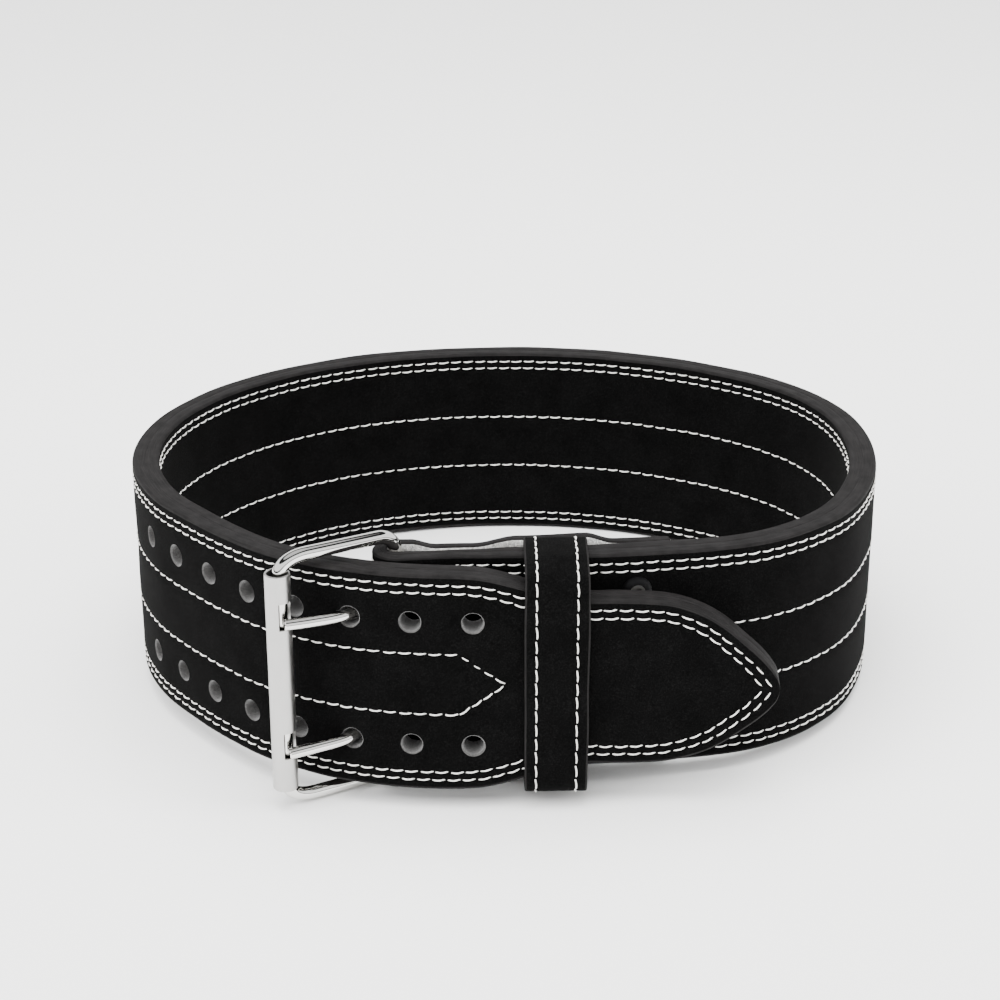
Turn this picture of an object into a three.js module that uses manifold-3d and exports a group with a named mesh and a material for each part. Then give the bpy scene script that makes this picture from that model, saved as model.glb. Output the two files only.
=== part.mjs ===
// A suede leather weightlifting belt, buckled into a loop and standing on its lower edge.
// Millimetres, +Z up. Until the belt is set down at the end, its lower edge lies in Z = 0, the
// middle of the loop is X = Y = 0, and the buckle faces -Y.
import * as THREE from 'three';
import { mergeVertices } from 'three/addons/utils/BufferGeometryUtils.js';
import Module from 'manifold-3d';

const wasm = await Module();
wasm.setup();

// Belt leather
const BELT_WIDTH = 100;
const BELT_THICK = 12.5;
const EDGE_BEVEL = 1.4;
const HALF_SPAN = 176;
const REAR_DEPTH = 154;
const TONGUE_AIR = 10;

// Buckle end, folded back to the inside round the heel bar
const FOLD_TURN = -106.5;
const FLAP_LENGTH = 118;
const BAR_PLAY = 0.5;
const BAR_ROOM = 8;
const KEEPER_ROOM = 9;
const SLOT_MARGIN = 1;

// Tongue, with its holes in two rows
const PRONG_TURN = 246.8;
const HOLE_PITCH = 26.2;
const HOLE_COUNT = 8;
const PRONG_HOLE = 6;
const HOLE_DIAMETER = 9;
const HOLE_ROW_SPACING = 57;
const TONGUE_LENGTH = 129;
const TIP_SAG = 3;

// Buckle
const WIRE_DIAMETER = 6;
const RAIL_SPACING = 112;
const CORNER_RADIUS = 8;
const FRONT_BEND = 12;
const FRONT_BEND_RISE = 7;
const ROLLER_TURN = 239.2;
const ROLLER_AIR = 9.3;
const ROLLER_LENGTH = 100;
const ROLLER_DIAMETER = 10.8;
const ROLLER_WALL = 1;
const NOTCH_HEIGHT = 12;
const NOTCH_REACH = 2.1;
const PRONG_DIAMETER = 5;
const PRONG_PLAY = 0.3;
const PRONG_GROOVE = 0.4;
const LOWER_PRONG_DROOP = 3;
const PRONG_ROOT = 0.3;
const PRONG_EXIT = 0.28;
const PRONG_KNEE = 2.4;
const PRONG_BULGE = 2.2;
const PRONG_OVERHANG = 1.2;

// Keeper, its near side a share of FLAP_LENGTH from the fold
const KEEPER_FROM_FOLD = 0.445;
const KEEPER_WIDTH = 27;
const KEEPER_THICK = 3;

// Rivets, their columns as shares of FLAP_LENGTH from the fold
const RIVET_COLUMNS = [0.2, 0.85];
const RIVET_ROW_SPACING = 33;
const RIVET_SHANK = 4;
const RIVET_HEAD = 9.5;
const RIVET_HEAD_HEIGHT = 1.4;
const RIVET_CAP = 13;
const RIVET_CAP_HEIGHT = 2.2;

// Gap kept between pieces that touch
const CLEARANCE = 0.3;

// Grams in a cubic centimetre
const LEATHER_DENSITY = 0.95;
const STEEL_DENSITY = 7.85;

// The loop seen from above: the reach of its outer face from the middle, as a share of an ellipse
// of HALF_SPAN and REAR_DEPTH, by the turn from +X in degrees.
const PLAN = [
  { turn: -90, reach: 0.858 },
  { turn: -66, reach: 0.913 },
  { turn: -50, reach: 0.99 },
  { turn: -34, reach: 1.013 },
  { turn: -18, reach: 0.999 },
  { turn: 0, reach: 0.996 },
  { turn: 30, reach: 1.026 },
  { turn: 60, reach: 1.007 },
  { turn: 90, reach: 0.997 },
  { turn: 120, reach: 1.006 },
  { turn: 150, reach: 1.006 },
  { turn: 180, reach: 1.002 },
  { turn: 198, reach: 0.997 },
  { turn: 214, reach: 0.989 },
  { turn: 230, reach: 0.971 },
  { turn: 250, reach: 0.898 },
];

// How far the strap stands off that loop: layers is a share of BELT_THICK and air of TONGUE_AIR.
// The fold swells round the heel bar, and the tongue climbs over the buckle end.
const LIFT = [
  { turn: -114, layers: 0, air: 0.88 },
  { turn: -104, layers: 0, air: 0.27 },
  { turn: -94, layers: 0, air: 0 },
  { turn: 206, layers: 0, air: 0 },
  { turn: 216, layers: 0, air: 0 },
  { turn: 226, layers: 0.24, air: 0 },
  { turn: 236, layers: 0.8, air: 0.06 },
  { turn: 246, layers: 1, air: 0.52 },
  { turn: 258, layers: 1, air: 0.85 },
  { turn: 270, layers: 1, air: 0.88 },
  { turn: 282, layers: 1, air: 0.66 },
  { turn: 294, layers: 1, air: 0.91 },
  { turn: 304, layers: 1, air: 1.68 },
  { turn: 312, layers: 1, air: 3.03 },
];

// The skived buckle end, along FLAP_LENGTH from the fold: the main layer and the flap as shares of
// BELT_THICK. The room between them opens for the bar, lies level under each column of rivets and
// opens again for the keeper: bar is a share of the bar's own room, keeper of the keeper's.
const BUCKLE_END = [
  { along: 0, main: 0.64, flap: 0.4, bar: 1, keeper: 0 },
  { along: 0.05, main: 0.64, flap: 0.4, bar: 0.95, keeper: 0 },
  { along: 0.14, main: 0.58, flap: 0.36, bar: 0.32, keeper: 0 },
  { along: 0.26, main: 0.58, flap: 0.36, bar: 0.32, keeper: 0 },
  { along: 0.42, main: 0.78, flap: 0.38, bar: 0, keeper: 0.95 },
  { along: 0.68, main: 0.96, flap: 0.38, bar: 0, keeper: 0.95 },
  { along: 0.78, main: 1, flap: 0.38, bar: 0, keeper: 0.08 },
  { along: 0.92, main: 1, flap: 0.38, bar: 0, keeper: 0.08 },
  { along: 1, main: 1, flap: 0.34, bar: 0, keeper: 0.06 },
];

// The tongue's outline past the last hole: along is a share of TONGUE_LENGTH, and half of half
// the belt's width.
const TONGUE = [
  { along: -0.1, half: 1 },
  { along: -0.04, half: 0.998 },
  { along: 0.03, half: 0.982 },
  { along: 0.09, half: 0.948 },
  { along: 0.165, half: 0.89 },
  { along: 0.27, half: 0.797 },
  { along: 0.37, half: 0.762 },
  { along: 0.47, half: 0.765 },
  { along: 0.57, half: 0.757 },
  { along: 0.64, half: 0.74 },
  { along: 0.7, half: 0.7 },
  { along: 0.76, half: 0.637 },
  { along: 0.82, half: 0.542 },
  { along: 0.88, half: 0.415 },
  { along: 0.94, half: 0.277 },
  { along: 0.985, half: 0.135 },
  { along: 1, half: 0.03 },
];

// The keeper's passage in section: out is a share of its depth from the inside of the belt to the
// front of the tongue, and up is a share of BELT_WIDTH.
const KEEPER_PASSAGE = [
  { out: 0, up: 0 },
  { out: 0.62, up: 0 },
  { out: 0.92, up: 0.012 },
  { out: 1, up: 0.045 },
  { out: 1, up: 0.925 },
  { out: 0.93, up: 0.965 },
  { out: 0.6, up: 1 },
  { out: 0, up: 1 },
];

// A rivet turned about its shank: the cap outside the belt, then the head inside the flap. Each
// radius is a share of the cap's or the head's diameter, and each rise a share of its height.
const RIVET_CAP_PROFILE = [
  { radius: 0, rise: 0.55 },
  { radius: 0.09, rise: 0.6 },
  { radius: 0.17, rise: 1 },
  { radius: 0.36, rise: 0.85 },
  { radius: 0.5, rise: 0.3 },
  { radius: 0.5, rise: 0 },
];
const RIVET_HEAD_PROFILE = [
  { radius: 0.5, rise: 0 },
  { radius: 0.5, rise: 0.6 },
  { radius: 0.42, rise: 1 },
  { radius: 0, rise: 1 },
];

// Faceting, and how far a drill or the worked-out route runs past what it has to reach
const LEATHER_STEP = 12;
const BUCKLE_STEP = 6;
const TONGUE_STEP = 6;
const FOLD_STEPS = 8;
const WIRE_SIDES = 10;
const CORNER_STEPS = 4;
const PRONG_SIDES = 10;
const HOLE_SIDES = 12;
const RIVET_SIDES = 14;
const ROLLER_SIDES = 20;
const PRONG_STEPS = 12;
const EYE_STEPS = 20;
const TIP_STEP = 2;
const TURN_STEP = 0.5;
const TURNS_PAST_TIP = 8;
const DRILL_PAST = 2;

const HALF_WIDTH = BELT_WIDTH / 2;
const DEGREE = Math.PI / 180;

// Value of one column of a table at a place, as a cubic whose slopes come from the rows beside it
function smooth(rows, key, column, place) {
  const last = rows.length - 1;
  const at = THREE.MathUtils.clamp(place, rows[0][key], rows[last][key]);
  const above = rows.findIndex((row, k) => k > 0 && at <= row[key]);
  const [low, high] = [rows[above - 1], rows[above]];
  const slope = (k) => {
    const before = rows[Math.max(k - 1, 0)];
    const after = rows[Math.min(k + 1, last)];
    return (after[column] - before[column]) / (after[key] - before[key]);
  };
  const span = high[key] - low[key];
  const u = (at - low[key]) / span;
  return (
    (2 * u ** 3 - 3 * u ** 2 + 1) * low[column]
    + (u ** 3 - 2 * u ** 2 + u) * span * slope(above - 1)
    + (3 * u ** 2 - 2 * u ** 3) * high[column]
    + (u ** 3 - u ** 2) * span * slope(above)
  );
}

// Value of one column of a table at a place, easing from row to row and level at each row
function eased(rows, key, column, place) {
  const above = rows.findIndex((row, k) => k > 0 && place <= row[key]);
  if (above < 0) return rows[rows.length - 1][column];
  const [low, high] = [rows[above - 1], rows[above]];
  const share = THREE.MathUtils.smoothstep(place, low[key], high[key]);
  return THREE.MathUtils.lerp(low[column], high[column], share);
}

// The plan repeated a turn before and after, so that it closes smoothly
const PLAN_ROUND = [-360, 0, 360].flatMap((shift) => (
  PLAN.map(({ turn, reach }) => ({ turn: turn + shift, reach }))
));

function loopPoint(turn) {
  const reach = smooth(PLAN_ROUND, 'turn', 'reach', turn);
  return new THREE.Vector2(
    HALF_SPAN * reach * Math.cos(turn * DEGREE),
    REAR_DEPTH * reach * Math.sin(turn * DEGREE),
  );
}

function strapPoint(turn) {
  const step = 0.25;
  const along = loopPoint(turn + step).sub(loopPoint(turn - step)).normalize();
  const lift = BELT_THICK * smooth(LIFT, 'turn', 'layers', turn)
    + TONGUE_AIR * smooth(LIFT, 'turn', 'air', turn);
  return loopPoint(turn).add(new THREE.Vector2(along.y, -along.x).multiplyScalar(lift));
}

// The strap's outer face from the fold to past the tip, as points with their length from the fold
const route = [];
const lastTurn = LIFT[LIFT.length - 1].turn + TURNS_PAST_TIP;
for (let turn = FOLD_TURN; turn < lastTurn; turn += TURN_STEP) {
  const point = strapPoint(turn);
  const before = route[route.length - 1];
  route.push({ turn, point, length: before ? before.length + point.distanceTo(before.point) : 0 });
}

// Point, direction along and direction outwards at a length from the fold
function strapAt(length) {
  const above = Math.max(1, route.findIndex((place) => place.length >= length));
  const [low, high] = [route[above - 1], route[above]];
  const share = (length - low.length) / (high.length - low.length);
  const before = route[Math.max(above - 2, 0)].point;
  const after = route[Math.min(above + 1, route.length - 1)].point;
  const along = after.clone().sub(before).normalize();
  return {
    point: low.point.clone().lerp(high.point, share),
    along,
    out: new THREE.Vector2(along.y, -along.x),
  };
}

function lengthAt(turn) {
  return route.find((place) => place.turn >= turn).length;
}

const prongHoleLength = lengthAt(PRONG_TURN);
const lastHoleLength = prongHoleLength + (HOLE_COUNT - PRONG_HOLE) * HOLE_PITCH;
const tipLength = lastHoleLength + TONGUE_LENGTH;
const holeRows = [-1, 1].map((side) => HALF_WIDTH + side * HOLE_ROW_SPACING / 2);

// The buckle end's layers at a length from the fold
function buckleEnd(length) {
  const along = length / FLAP_LENGTH;
  const share = (column) => eased(BUCKLE_END, 'along', column, along);
  return {
    main: BELT_THICK * share('main'),
    flap: BELT_THICK * share('flap'),
    room: Math.max(CLEARANCE, BAR_ROOM * share('bar') + KEEPER_ROOM * share('keeper')),
  };
}

// Half height and middle height of the strap at a length from the fold
function strapHeight(length) {
  const along = (length - lastHoleLength) / TONGUE_LENGTH;
  return {
    half: HALF_WIDTH * smooth(TONGUE, 'along', 'half', along),
    middle: HALF_WIDTH - TIP_SAG * Math.max(0, along) ** 2,
  };
}

// One section of the strap between its two faces, bevelled at its four corners
function strapSection(face, back, { half, middle }) {
  const thick = face.distanceTo(back);
  const inward = back.clone().sub(face).normalize();
  const bevel = Math.min(EDGE_BEVEL, thick / 3, half / 3);
  const corners = [
    [0, -half + bevel], [bevel, -half], [thick - bevel, -half], [thick, -half + bevel],
    [thick, half - bevel], [thick - bevel, half], [bevel, half], [0, half - bevel],
  ];
  return corners.map(([depth, height]) => new THREE.Vector3(
    face.x + inward.x * depth,
    face.y + inward.y * depth,
    middle + height,
  ));
}

// Closed mesh through a row of sections, capped at both ends or joined end to end
function loft(sections, closed = false) {
  const sides = sections[0].length;
  const index = [];
  const rings = closed ? sections.length : sections.length - 1;
  for (let ring = 0; ring < rings; ring += 1) {
    const next = (ring + 1) % sections.length;
    for (let side = 0; side < sides; side += 1) {
      const beside = (side + 1) % sides;
      const [a, b] = [ring * sides + side, ring * sides + beside];
      const [c, d] = [next * sides + side, next * sides + beside];
      index.push(a, b, d, a, d, c);
    }
  }
  if (!closed) {
    const end = (sections.length - 1) * sides;
    for (let side = 1; side < sides - 1; side += 1) {
      index.push(0, side + 1, side, end, end + side, end + side + 1);
    }
  }
  const geometry = new THREE.BufferGeometry().setFromPoints(sections.flat());
  geometry.setIndex(index);
  return geometry;
}

// Solids for cutting and joining
function toSolid(geometry) {
  const bare = geometry.clone();
  bare.deleteAttribute('normal');
  bare.deleteAttribute('uv');
  const merged = mergeVertices(bare, 1e-4);
  const solid = new wasm.Manifold(new wasm.Mesh({
    numProp: 3,
    vertProperties: new Float32Array(merged.attributes.position.array),
    triVerts: new Uint32Array(merged.index.array),
  }));
  return solid;
}

function toGeometry(solid) {
  const { vertProperties, triVerts } = solid.getMesh();
  const geometry = new THREE.BufferGeometry();
  geometry.setAttribute('position', new THREE.BufferAttribute(vertProperties, 3));
  geometry.setIndex(new THREE.BufferAttribute(triVerts, 1));
  return geometry;
}

// A frame that stands on a plan point: x runs along, y outwards, z up
function standing(point, along, height = 0) {
  const x = new THREE.Vector3(along.x, along.y, 0).normalize();
  const z = new THREE.Vector3(0, 0, 1);
  const y = new THREE.Vector3().crossVectors(z, x);
  return new THREE.Matrix4().makeBasis(x, y, z).setPosition(point.x, point.y, height);
}

// Round bar lying in y between two depths, x and z its own plane
function barAlongY(radius, from, to, sides) {
  return new THREE.CylinderGeometry(radius, radius, to - from, sides)
    .translate(0, (from + to) / 2, 0);
}

// Fold and heel bar
const foldStart = strapAt(0);
const foldEnd = buckleEnd(0);
const foldInner = foldEnd.room / 2;
const foldCentre = foldStart.point.clone().addScaledVector(foldStart.out, -foldEnd.main - foldInner);
const barShift = foldInner - WIRE_DIAMETER / 2 - BAR_PLAY;
const barCentre = foldCentre.clone().addScaledVector(foldStart.along, -barShift);

// Roller, and the wire it turns on, which touches it on the side of the bar
const rollerPlace = strapAt(lengthAt(ROLLER_TURN));
const rollerCentre = rollerPlace.point.clone()
  .addScaledVector(rollerPlace.out, ROLLER_AIR + ROLLER_DIAMETER / 2);
const rollerBore = ROLLER_DIAMETER / 2 - ROLLER_WALL;
const buckleAlong = barCentre.clone().sub(rollerCentre).normalize();
const buckleOut = new THREE.Vector2(buckleAlong.y, -buckleAlong.x);
const wireCentre = rollerCentre.clone()
  .addScaledVector(buckleAlong, rollerBore - WIRE_DIAMETER / 2 - BAR_PLAY);

// The middle line of a prong: it starts PRONG_ROOT of the way from the heel bar to the middle of
// its hole, leaves the hole PRONG_EXIT of the hole's diameter nearer the roller, bows out by
// PRONG_BULGE at PRONG_KNEE prong diameters from its tip, and comes down onto the roller's wire,
// which it passes by PRONG_OVERHANG.
function prongRoute(height, droop) {
  const hole = strapAt(prongHoleLength);
  const middle = hole.point.clone().addScaledVector(hole.out, -BELT_THICK / 2);
  const front = hole.point.clone().addScaledVector(hole.along, -PRONG_EXIT * HOLE_DIAMETER);
  const rest = WIRE_DIAMETER / 2 + PRONG_DIAMETER / 2 + CLEARANCE;
  const tip = wireCentre.clone().addScaledVector(buckleOut, rest)
    .addScaledVector(buckleAlong, -PRONG_OVERHANG);
  const nearTip = tip.clone().addScaledVector(buckleAlong, PRONG_KNEE * PRONG_DIAMETER)
    .addScaledVector(buckleOut, PRONG_BULGE);
  const plan = [barCentre.clone().lerp(middle, PRONG_ROOT), middle, front, nearTip, tip];
  const total = plan[0].distanceTo(tip);
  return new THREE.CatmullRomCurve3(plan.map((point) => (
    new THREE.Vector3(point.x, point.y, height - droop * (plan[0].distanceTo(point) / total) ** 2)
  )), false, 'centripetal');
}

function prongArm(height, droop, radius) {
  const round = new THREE.Shape().absarc(0, 0, radius, 0, 2 * Math.PI);
  return new THREE.ExtrudeGeometry(round, {
    steps: PRONG_STEPS,
    curveSegments: PRONG_SIDES,
    extrudePath: prongRoute(height, droop),
  });
}

const prongs = [
  { name: 'prong_lower', height: holeRows[0], droop: LOWER_PRONG_DROOP },
  { name: 'prong_upper', height: holeRows[1], droop: 0 },
];

// Strap: from the flap's free end, round the fold and the loop, to the tongue's tip
function strapSections() {
  const sections = [];
  const full = strapHeight(0);
  const flapSteps = Math.round(FLAP_LENGTH / BUCKLE_STEP);
  for (let step = flapSteps; step > 0; step -= 1) {
    const length = step * FLAP_LENGTH / flapSteps;
    const { point, out } = strapAt(length);
    const { main, room, flap } = buckleEnd(length);
    const face = point.clone().addScaledVector(out, -main - room - flap);
    const back = point.clone().addScaledVector(out, -main - room);
    sections.push(strapSection(face, back, full));
  }
  for (let step = 0; step < FOLD_STEPS; step += 1) {
    const share = step / FOLD_STEPS;
    const spoke = foldStart.out.clone().rotateAround(new THREE.Vector2(), Math.PI * (share - 1));
    const thick = THREE.MathUtils.lerp(foldEnd.flap, foldEnd.main, share);
    const face = foldCentre.clone().addScaledVector(spoke, foldInner + thick);
    const back = foldCentre.clone().addScaledVector(spoke, foldInner);
    sections.push(strapSection(face, back, full));
  }
  const shoulder = lastHoleLength + TONGUE[0].along * TONGUE_LENGTH;
  const bodySteps = Math.round((shoulder - FLAP_LENGTH) / LEATHER_STEP);
  const tongueSteps = Math.round((tipLength - shoulder) / TONGUE_STEP);
  const lengths = [];
  for (let step = 0; step < flapSteps; step += 1) lengths.push(step * FLAP_LENGTH / flapSteps);
  for (let step = 0; step < bodySteps; step += 1) {
    lengths.push(FLAP_LENGTH + step * (shoulder - FLAP_LENGTH) / bodySteps);
  }
  for (let step = 0; step <= tongueSteps; step += 1) {
    lengths.push(shoulder + step * (tipLength - shoulder) / tongueSteps);
  }
  lengths.splice(-1, 0, tipLength - TIP_STEP);
  for (const length of lengths) {
    const { point, out } = strapAt(length);
    const { main } = buckleEnd(length);
    const back = point.clone().addScaledVector(out, -main);
    sections.push(strapSection(point, back, strapHeight(length)));
  }
  return sections;
}

// Rivets: each stands in a frame on the belt's outer face, with y pointing into the belt
const rivets = RIVET_COLUMNS.flatMap((share, column) => {
  const length = share * FLAP_LENGTH;
  const { point, along } = strapAt(length);
  const { main, room, flap } = buckleEnd(length);
  return ['low', 'mid', 'high'].map((row, k) => ({
    name: `rivet_${column + 1}_${row}`,
    frame: standing(point, along, HALF_WIDTH + (k - 1) * RIVET_ROW_SPACING),
    grip: main + room + flap,
  }));
});

function strapCuts() {
  const cuts = [];
  const drillEnd = BELT_THICK + DRILL_PAST;
  for (let hole = 1; hole <= HOLE_COUNT; hole += 1) {
    const { point, along } = strapAt(prongHoleLength + (hole - PRONG_HOLE) * HOLE_PITCH);
    for (const height of holeRows) {
      const drill = barAlongY(HOLE_DIAMETER / 2, -DRILL_PAST, drillEnd, HOLE_SIDES);
      cuts.push(drill.applyMatrix4(standing(point, along, height)));
    }
  }
  const eyeReach = WIRE_DIAMETER / 2 + PRONG_PLAY + PRONG_DIAMETER + SLOT_MARGIN;
  const slotHalf = PRONG_DIAMETER / 2 + SLOT_MARGIN;
  const slotDepth = foldInner + BELT_THICK;
  for (const height of holeRows) {
    const ending = standing(barCentre, foldStart.along, height);
    const middle = eyeReach - slotHalf;
    const left = -(slotDepth + WIRE_DIAMETER);
    const run = new THREE.BoxGeometry(middle - left, 2 * slotDepth, 2 * slotHalf)
      .translate((middle + left) / 2, 0, 0);
    const end = barAlongY(slotHalf, -slotDepth, slotDepth, HOLE_SIDES).translate(middle, 0, 0);
    cuts.push(run.applyMatrix4(ending), end.applyMatrix4(ending));
  }
  for (const { height, droop } of prongs) {
    cuts.push(prongArm(height, droop, PRONG_DIAMETER / 2 + PRONG_GROOVE));
  }
  for (const rivet of rivets) {
    const radius = RIVET_SHANK / 2 + CLEARANCE;
    const drill = barAlongY(radius, -DRILL_PAST, rivet.grip + DRILL_PAST, HOLE_SIDES);
    cuts.push(drill.applyMatrix4(rivet.frame));
  }
  return cuts;
}

function rivetGeometry(grip) {
  const profile = [
    ...RIVET_CAP_PROFILE.map(({ radius, rise }) => (
      new THREE.Vector2(radius * RIVET_CAP, -CLEARANCE - rise * RIVET_CAP_HEIGHT)
    )),
    new THREE.Vector2(RIVET_SHANK / 2, -CLEARANCE),
    new THREE.Vector2(RIVET_SHANK / 2, grip + CLEARANCE),
    ...RIVET_HEAD_PROFILE.map(({ radius, rise }) => (
      new THREE.Vector2(radius * RIVET_HEAD, grip + CLEARANCE + rise * RIVET_HEAD_HEIGHT)
    )),
  ];
  return new THREE.LatheGeometry(profile, RIVET_SIDES);
}

// Frame: one ring of wire with the heel bar on one side and the roller's bar on the other, where
// its corners are drawn out along the rails
function frameGeometry() {
  const reach = wireCentre.distanceTo(barCentre);
  const corners = [
    { across: reach, up: RAIL_SPACING, from: 0, bend: CORNER_RADIUS, rise: CORNER_RADIUS },
    { across: 0, up: RAIL_SPACING, from: 90, bend: FRONT_BEND, rise: FRONT_BEND_RISE },
    { across: 0, up: 0, from: 180, bend: FRONT_BEND, rise: FRONT_BEND_RISE },
    { across: reach, up: 0, from: 270, bend: CORNER_RADIUS, rise: CORNER_RADIUS },
  ];
  const sections = corners.flatMap(({ across, up, from, bend, rise }) => {
    const centreAcross = across > 0 ? across - bend : bend;
    const centreUp = up > 0 ? up - rise : rise;
    return Array.from({ length: CORNER_STEPS + 1 }, (_, step) => {
      const angle = (from + 90 * step / CORNER_STEPS) * DEGREE;
      const outward = new THREE.Vector2(Math.cos(angle) / bend, Math.sin(angle) / rise).normalize();
      return Array.from({ length: WIRE_SIDES }, (__, side) => {
        const round = 2 * Math.PI * side / WIRE_SIDES;
        const away = WIRE_DIAMETER / 2 * Math.cos(round);
        return new THREE.Vector3(
          centreAcross + bend * Math.cos(angle) + away * outward.x,
          WIRE_DIAMETER / 2 * Math.sin(round),
          centreUp + rise * Math.sin(angle) + away * outward.y,
        );
      });
    });
  });
  const low = HALF_WIDTH - RAIL_SPACING / 2;
  return loft(sections, true).applyMatrix4(standing(wireCentre, buckleAlong, low));
}

// Roller: a thin tube with a notch beside each prong's tip
function rollerGeometry() {
  const outer = ROLLER_DIAMETER / 2;
  const tube = new THREE.LatheGeometry([
    new THREE.Vector2(rollerBore, 0), new THREE.Vector2(outer, 0),
    new THREE.Vector2(outer, ROLLER_LENGTH), new THREE.Vector2(rollerBore, ROLLER_LENGTH),
    new THREE.Vector2(rollerBore, 0),
  ], ROLLER_SIDES).rotateX(Math.PI / 2);
  const seat = standing(rollerCentre, buckleAlong, HALF_WIDTH - ROLLER_LENGTH / 2);
  const solid = prongs.reduce((left, { height, droop }) => {
    const low = height - droop - PRONG_DIAMETER / 2 - CLEARANCE - (HALF_WIDTH - ROLLER_LENGTH / 2);
    const notch = new THREE.BoxGeometry(ROLLER_DIAMETER, ROLLER_DIAMETER, NOTCH_HEIGHT)
      .translate(ROLLER_DIAMETER / 2 - NOTCH_REACH, -ROLLER_DIAMETER / 2, low + NOTCH_HEIGHT / 2);
    return left.subtract(toSolid(notch));
  }, toSolid(tube));
  return toGeometry(solid).applyMatrix4(seat);
}

// Prong: an eye of wire round the heel bar, and the arm
function prongGeometry(height, droop) {
  const eyeRadius = WIRE_DIAMETER / 2 + PRONG_PLAY + PRONG_DIAMETER / 2;
  const eye = new THREE.TorusGeometry(eyeRadius, PRONG_DIAMETER / 2, PRONG_SIDES, EYE_STEPS)
    .translate(barCentre.x, barCentre.y, height);
  return toGeometry(toSolid(eye).add(toSolid(prongArm(height, droop, PRONG_DIAMETER / 2))));
}

// Keeper: a flat ring of leather round the belt and the tongue, between the belt and the flap
const keeperMiddle = KEEPER_FROM_FOLD * FLAP_LENGTH + KEEPER_WIDTH / 2;

function keeperPassage() {
  const { point, along, out } = strapAt(keeperMiddle);
  const outness = (place, depth) => place.point.clone().addScaledVector(place.out, -depth)
    .sub(point).dot(out);
  const under = [-1, 0, 1].map((side) => keeperMiddle + side * KEEPER_WIDTH / 2);
  const back = Math.min(...under.map((length) => outness(strapAt(length), buckleEnd(length).main)));
  const over = route.map((place) => strapAt(place.length))
    .filter((place, k) => route[k].turn > PRONG_TURN
      && Math.abs(place.point.clone().sub(point).dot(along)) < KEEPER_WIDTH / 2);
  const front = Math.max(...over.map((place) => outness(place, 0)));
  return { point, along, back: back - CLEARANCE, front: front + CLEARANCE };
}

function keeperGeometry() {
  const { point, along, back, front } = keeperPassage();
  const spot = (thick) => KEEPER_PASSAGE.map(({ out, up }) => new THREE.Vector2(
    THREE.MathUtils.lerp(back - thick, front + thick, out),
    THREE.MathUtils.lerp(-CLEARANCE - thick, BELT_WIDTH + CLEARANCE + thick, up),
  ));
  const ring = new THREE.Shape(spot(KEEPER_THICK));
  ring.holes.push(new THREE.Path(spot(0)));
  const band = new THREE.ExtrudeGeometry(ring, { depth: KEEPER_WIDTH, bevelEnabled: false })
    .translate(0, 0, -KEEPER_WIDTH / 2);
  const x = new THREE.Vector3(along.y, -along.x, 0);
  const z = new THREE.Vector3(-along.x, -along.y, 0);
  const turn = new THREE.Matrix4().makeBasis(x, new THREE.Vector3(0, 0, 1), z);
  return band.applyMatrix4(turn.setPosition(point.x, point.y, 0));
}

// The belt stands on the three of its lowest points that its weight lies between: the buckle and
// the keeper hang a little below the leather's edge, so the whole belt leans back on its rear.
// The floor starts high, and the point furthest below it takes one foot's place at a time.
function balancePoint(meshes) {
  const sum = new THREE.Vector3();
  let weight = 0;
  for (const { geometry, material } of meshes) {
    const density = material.metalness > 0 ? STEEL_DENSITY : LEATHER_DENSITY;
    const flat = (geometry.index ? geometry.toNonIndexed() : geometry).attributes.position;
    for (let k = 0; k < flat.count; k += 3) {
      const [a, b, c] = [0, 1, 2].map((n) => new THREE.Vector3().fromBufferAttribute(flat, k + n));
      const share = density * a.dot(b.clone().cross(c)) / 6;
      sum.addScaledVector(a.add(b).add(c), share / 4);
      weight += share;
    }
  }
  return sum.divideScalar(weight);
}

function lowPoints(meshes) {
  const seen = new Map();
  for (const { geometry } of meshes) {
    const { position } = geometry.attributes;
    for (let k = 0; k < position.count; k += 1) {
      const point = new THREE.Vector3().fromBufferAttribute(position, k);
      const place = `${Math.round(point.x)} ${Math.round(point.y)}`;
      const rival = seen.get(place);
      if (point.z < EDGE_BEVEL && !(rival && rival.z <= point.z)) seen.set(place, point);
    }
  }
  return [...seen.values()];
}

// How far inside a triangle of feet a point lies, seen from above, as its smallest corner area
function insideFeet(feet, point) {
  return Math.min(...feet.map((foot, k) => {
    const next = feet[(k + 1) % feet.length];
    return (next.x - foot.x) * (point.y - foot.y) - (next.y - foot.y) * (point.x - foot.x);
  }));
}

function floorUnder(meshes) {
  const balance = balancePoint(meshes);
  const points = lowPoints(meshes);
  const heightUnder = (floor, point) => (
    -(floor.constant + floor.normal.x * point.x + floor.normal.y * point.y) / floor.normal.z
  );
  const far = 2 * HALF_SPAN;
  let feet = [90, 210, 330].map((turn) => new THREE.Vector3(
    balance.x + far * Math.cos(turn * DEGREE), balance.y + far * Math.sin(turn * DEGREE), far,
  ));
  for (;;) {
    const floor = new THREE.Plane().setFromCoplanarPoints(...feet);
    const drop = (point) => point.z - heightUnder(floor, point);
    const lowest = points.reduce((low, point) => (drop(point) < drop(low) ? point : low));
    if (drop(lowest) > -1e-4) return floor;
    const swaps = feet.map((_, k) => feet.map((foot, n) => (n === k ? lowest : foot)));
    feet = swaps.reduce((best, three) => (
      insideFeet(three, balance) > insideFeet(best, balance) ? three : best
    ));
  }
}

// Materials
const suede = new THREE.MeshStandardMaterial({ color: '#161616', roughness: 0.95 });
const nickel = new THREE.MeshStandardMaterial({ color: '#d5d5d3', roughness: 0.15, metalness: 1 });
const satin = new THREE.MeshStandardMaterial({ color: '#cfcfcd', roughness: 0.35, metalness: 1 });
const steel = new THREE.MeshStandardMaterial({ color: '#b4b4b2', roughness: 0.4, metalness: 1 });

const belt = new THREE.Group();

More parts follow.
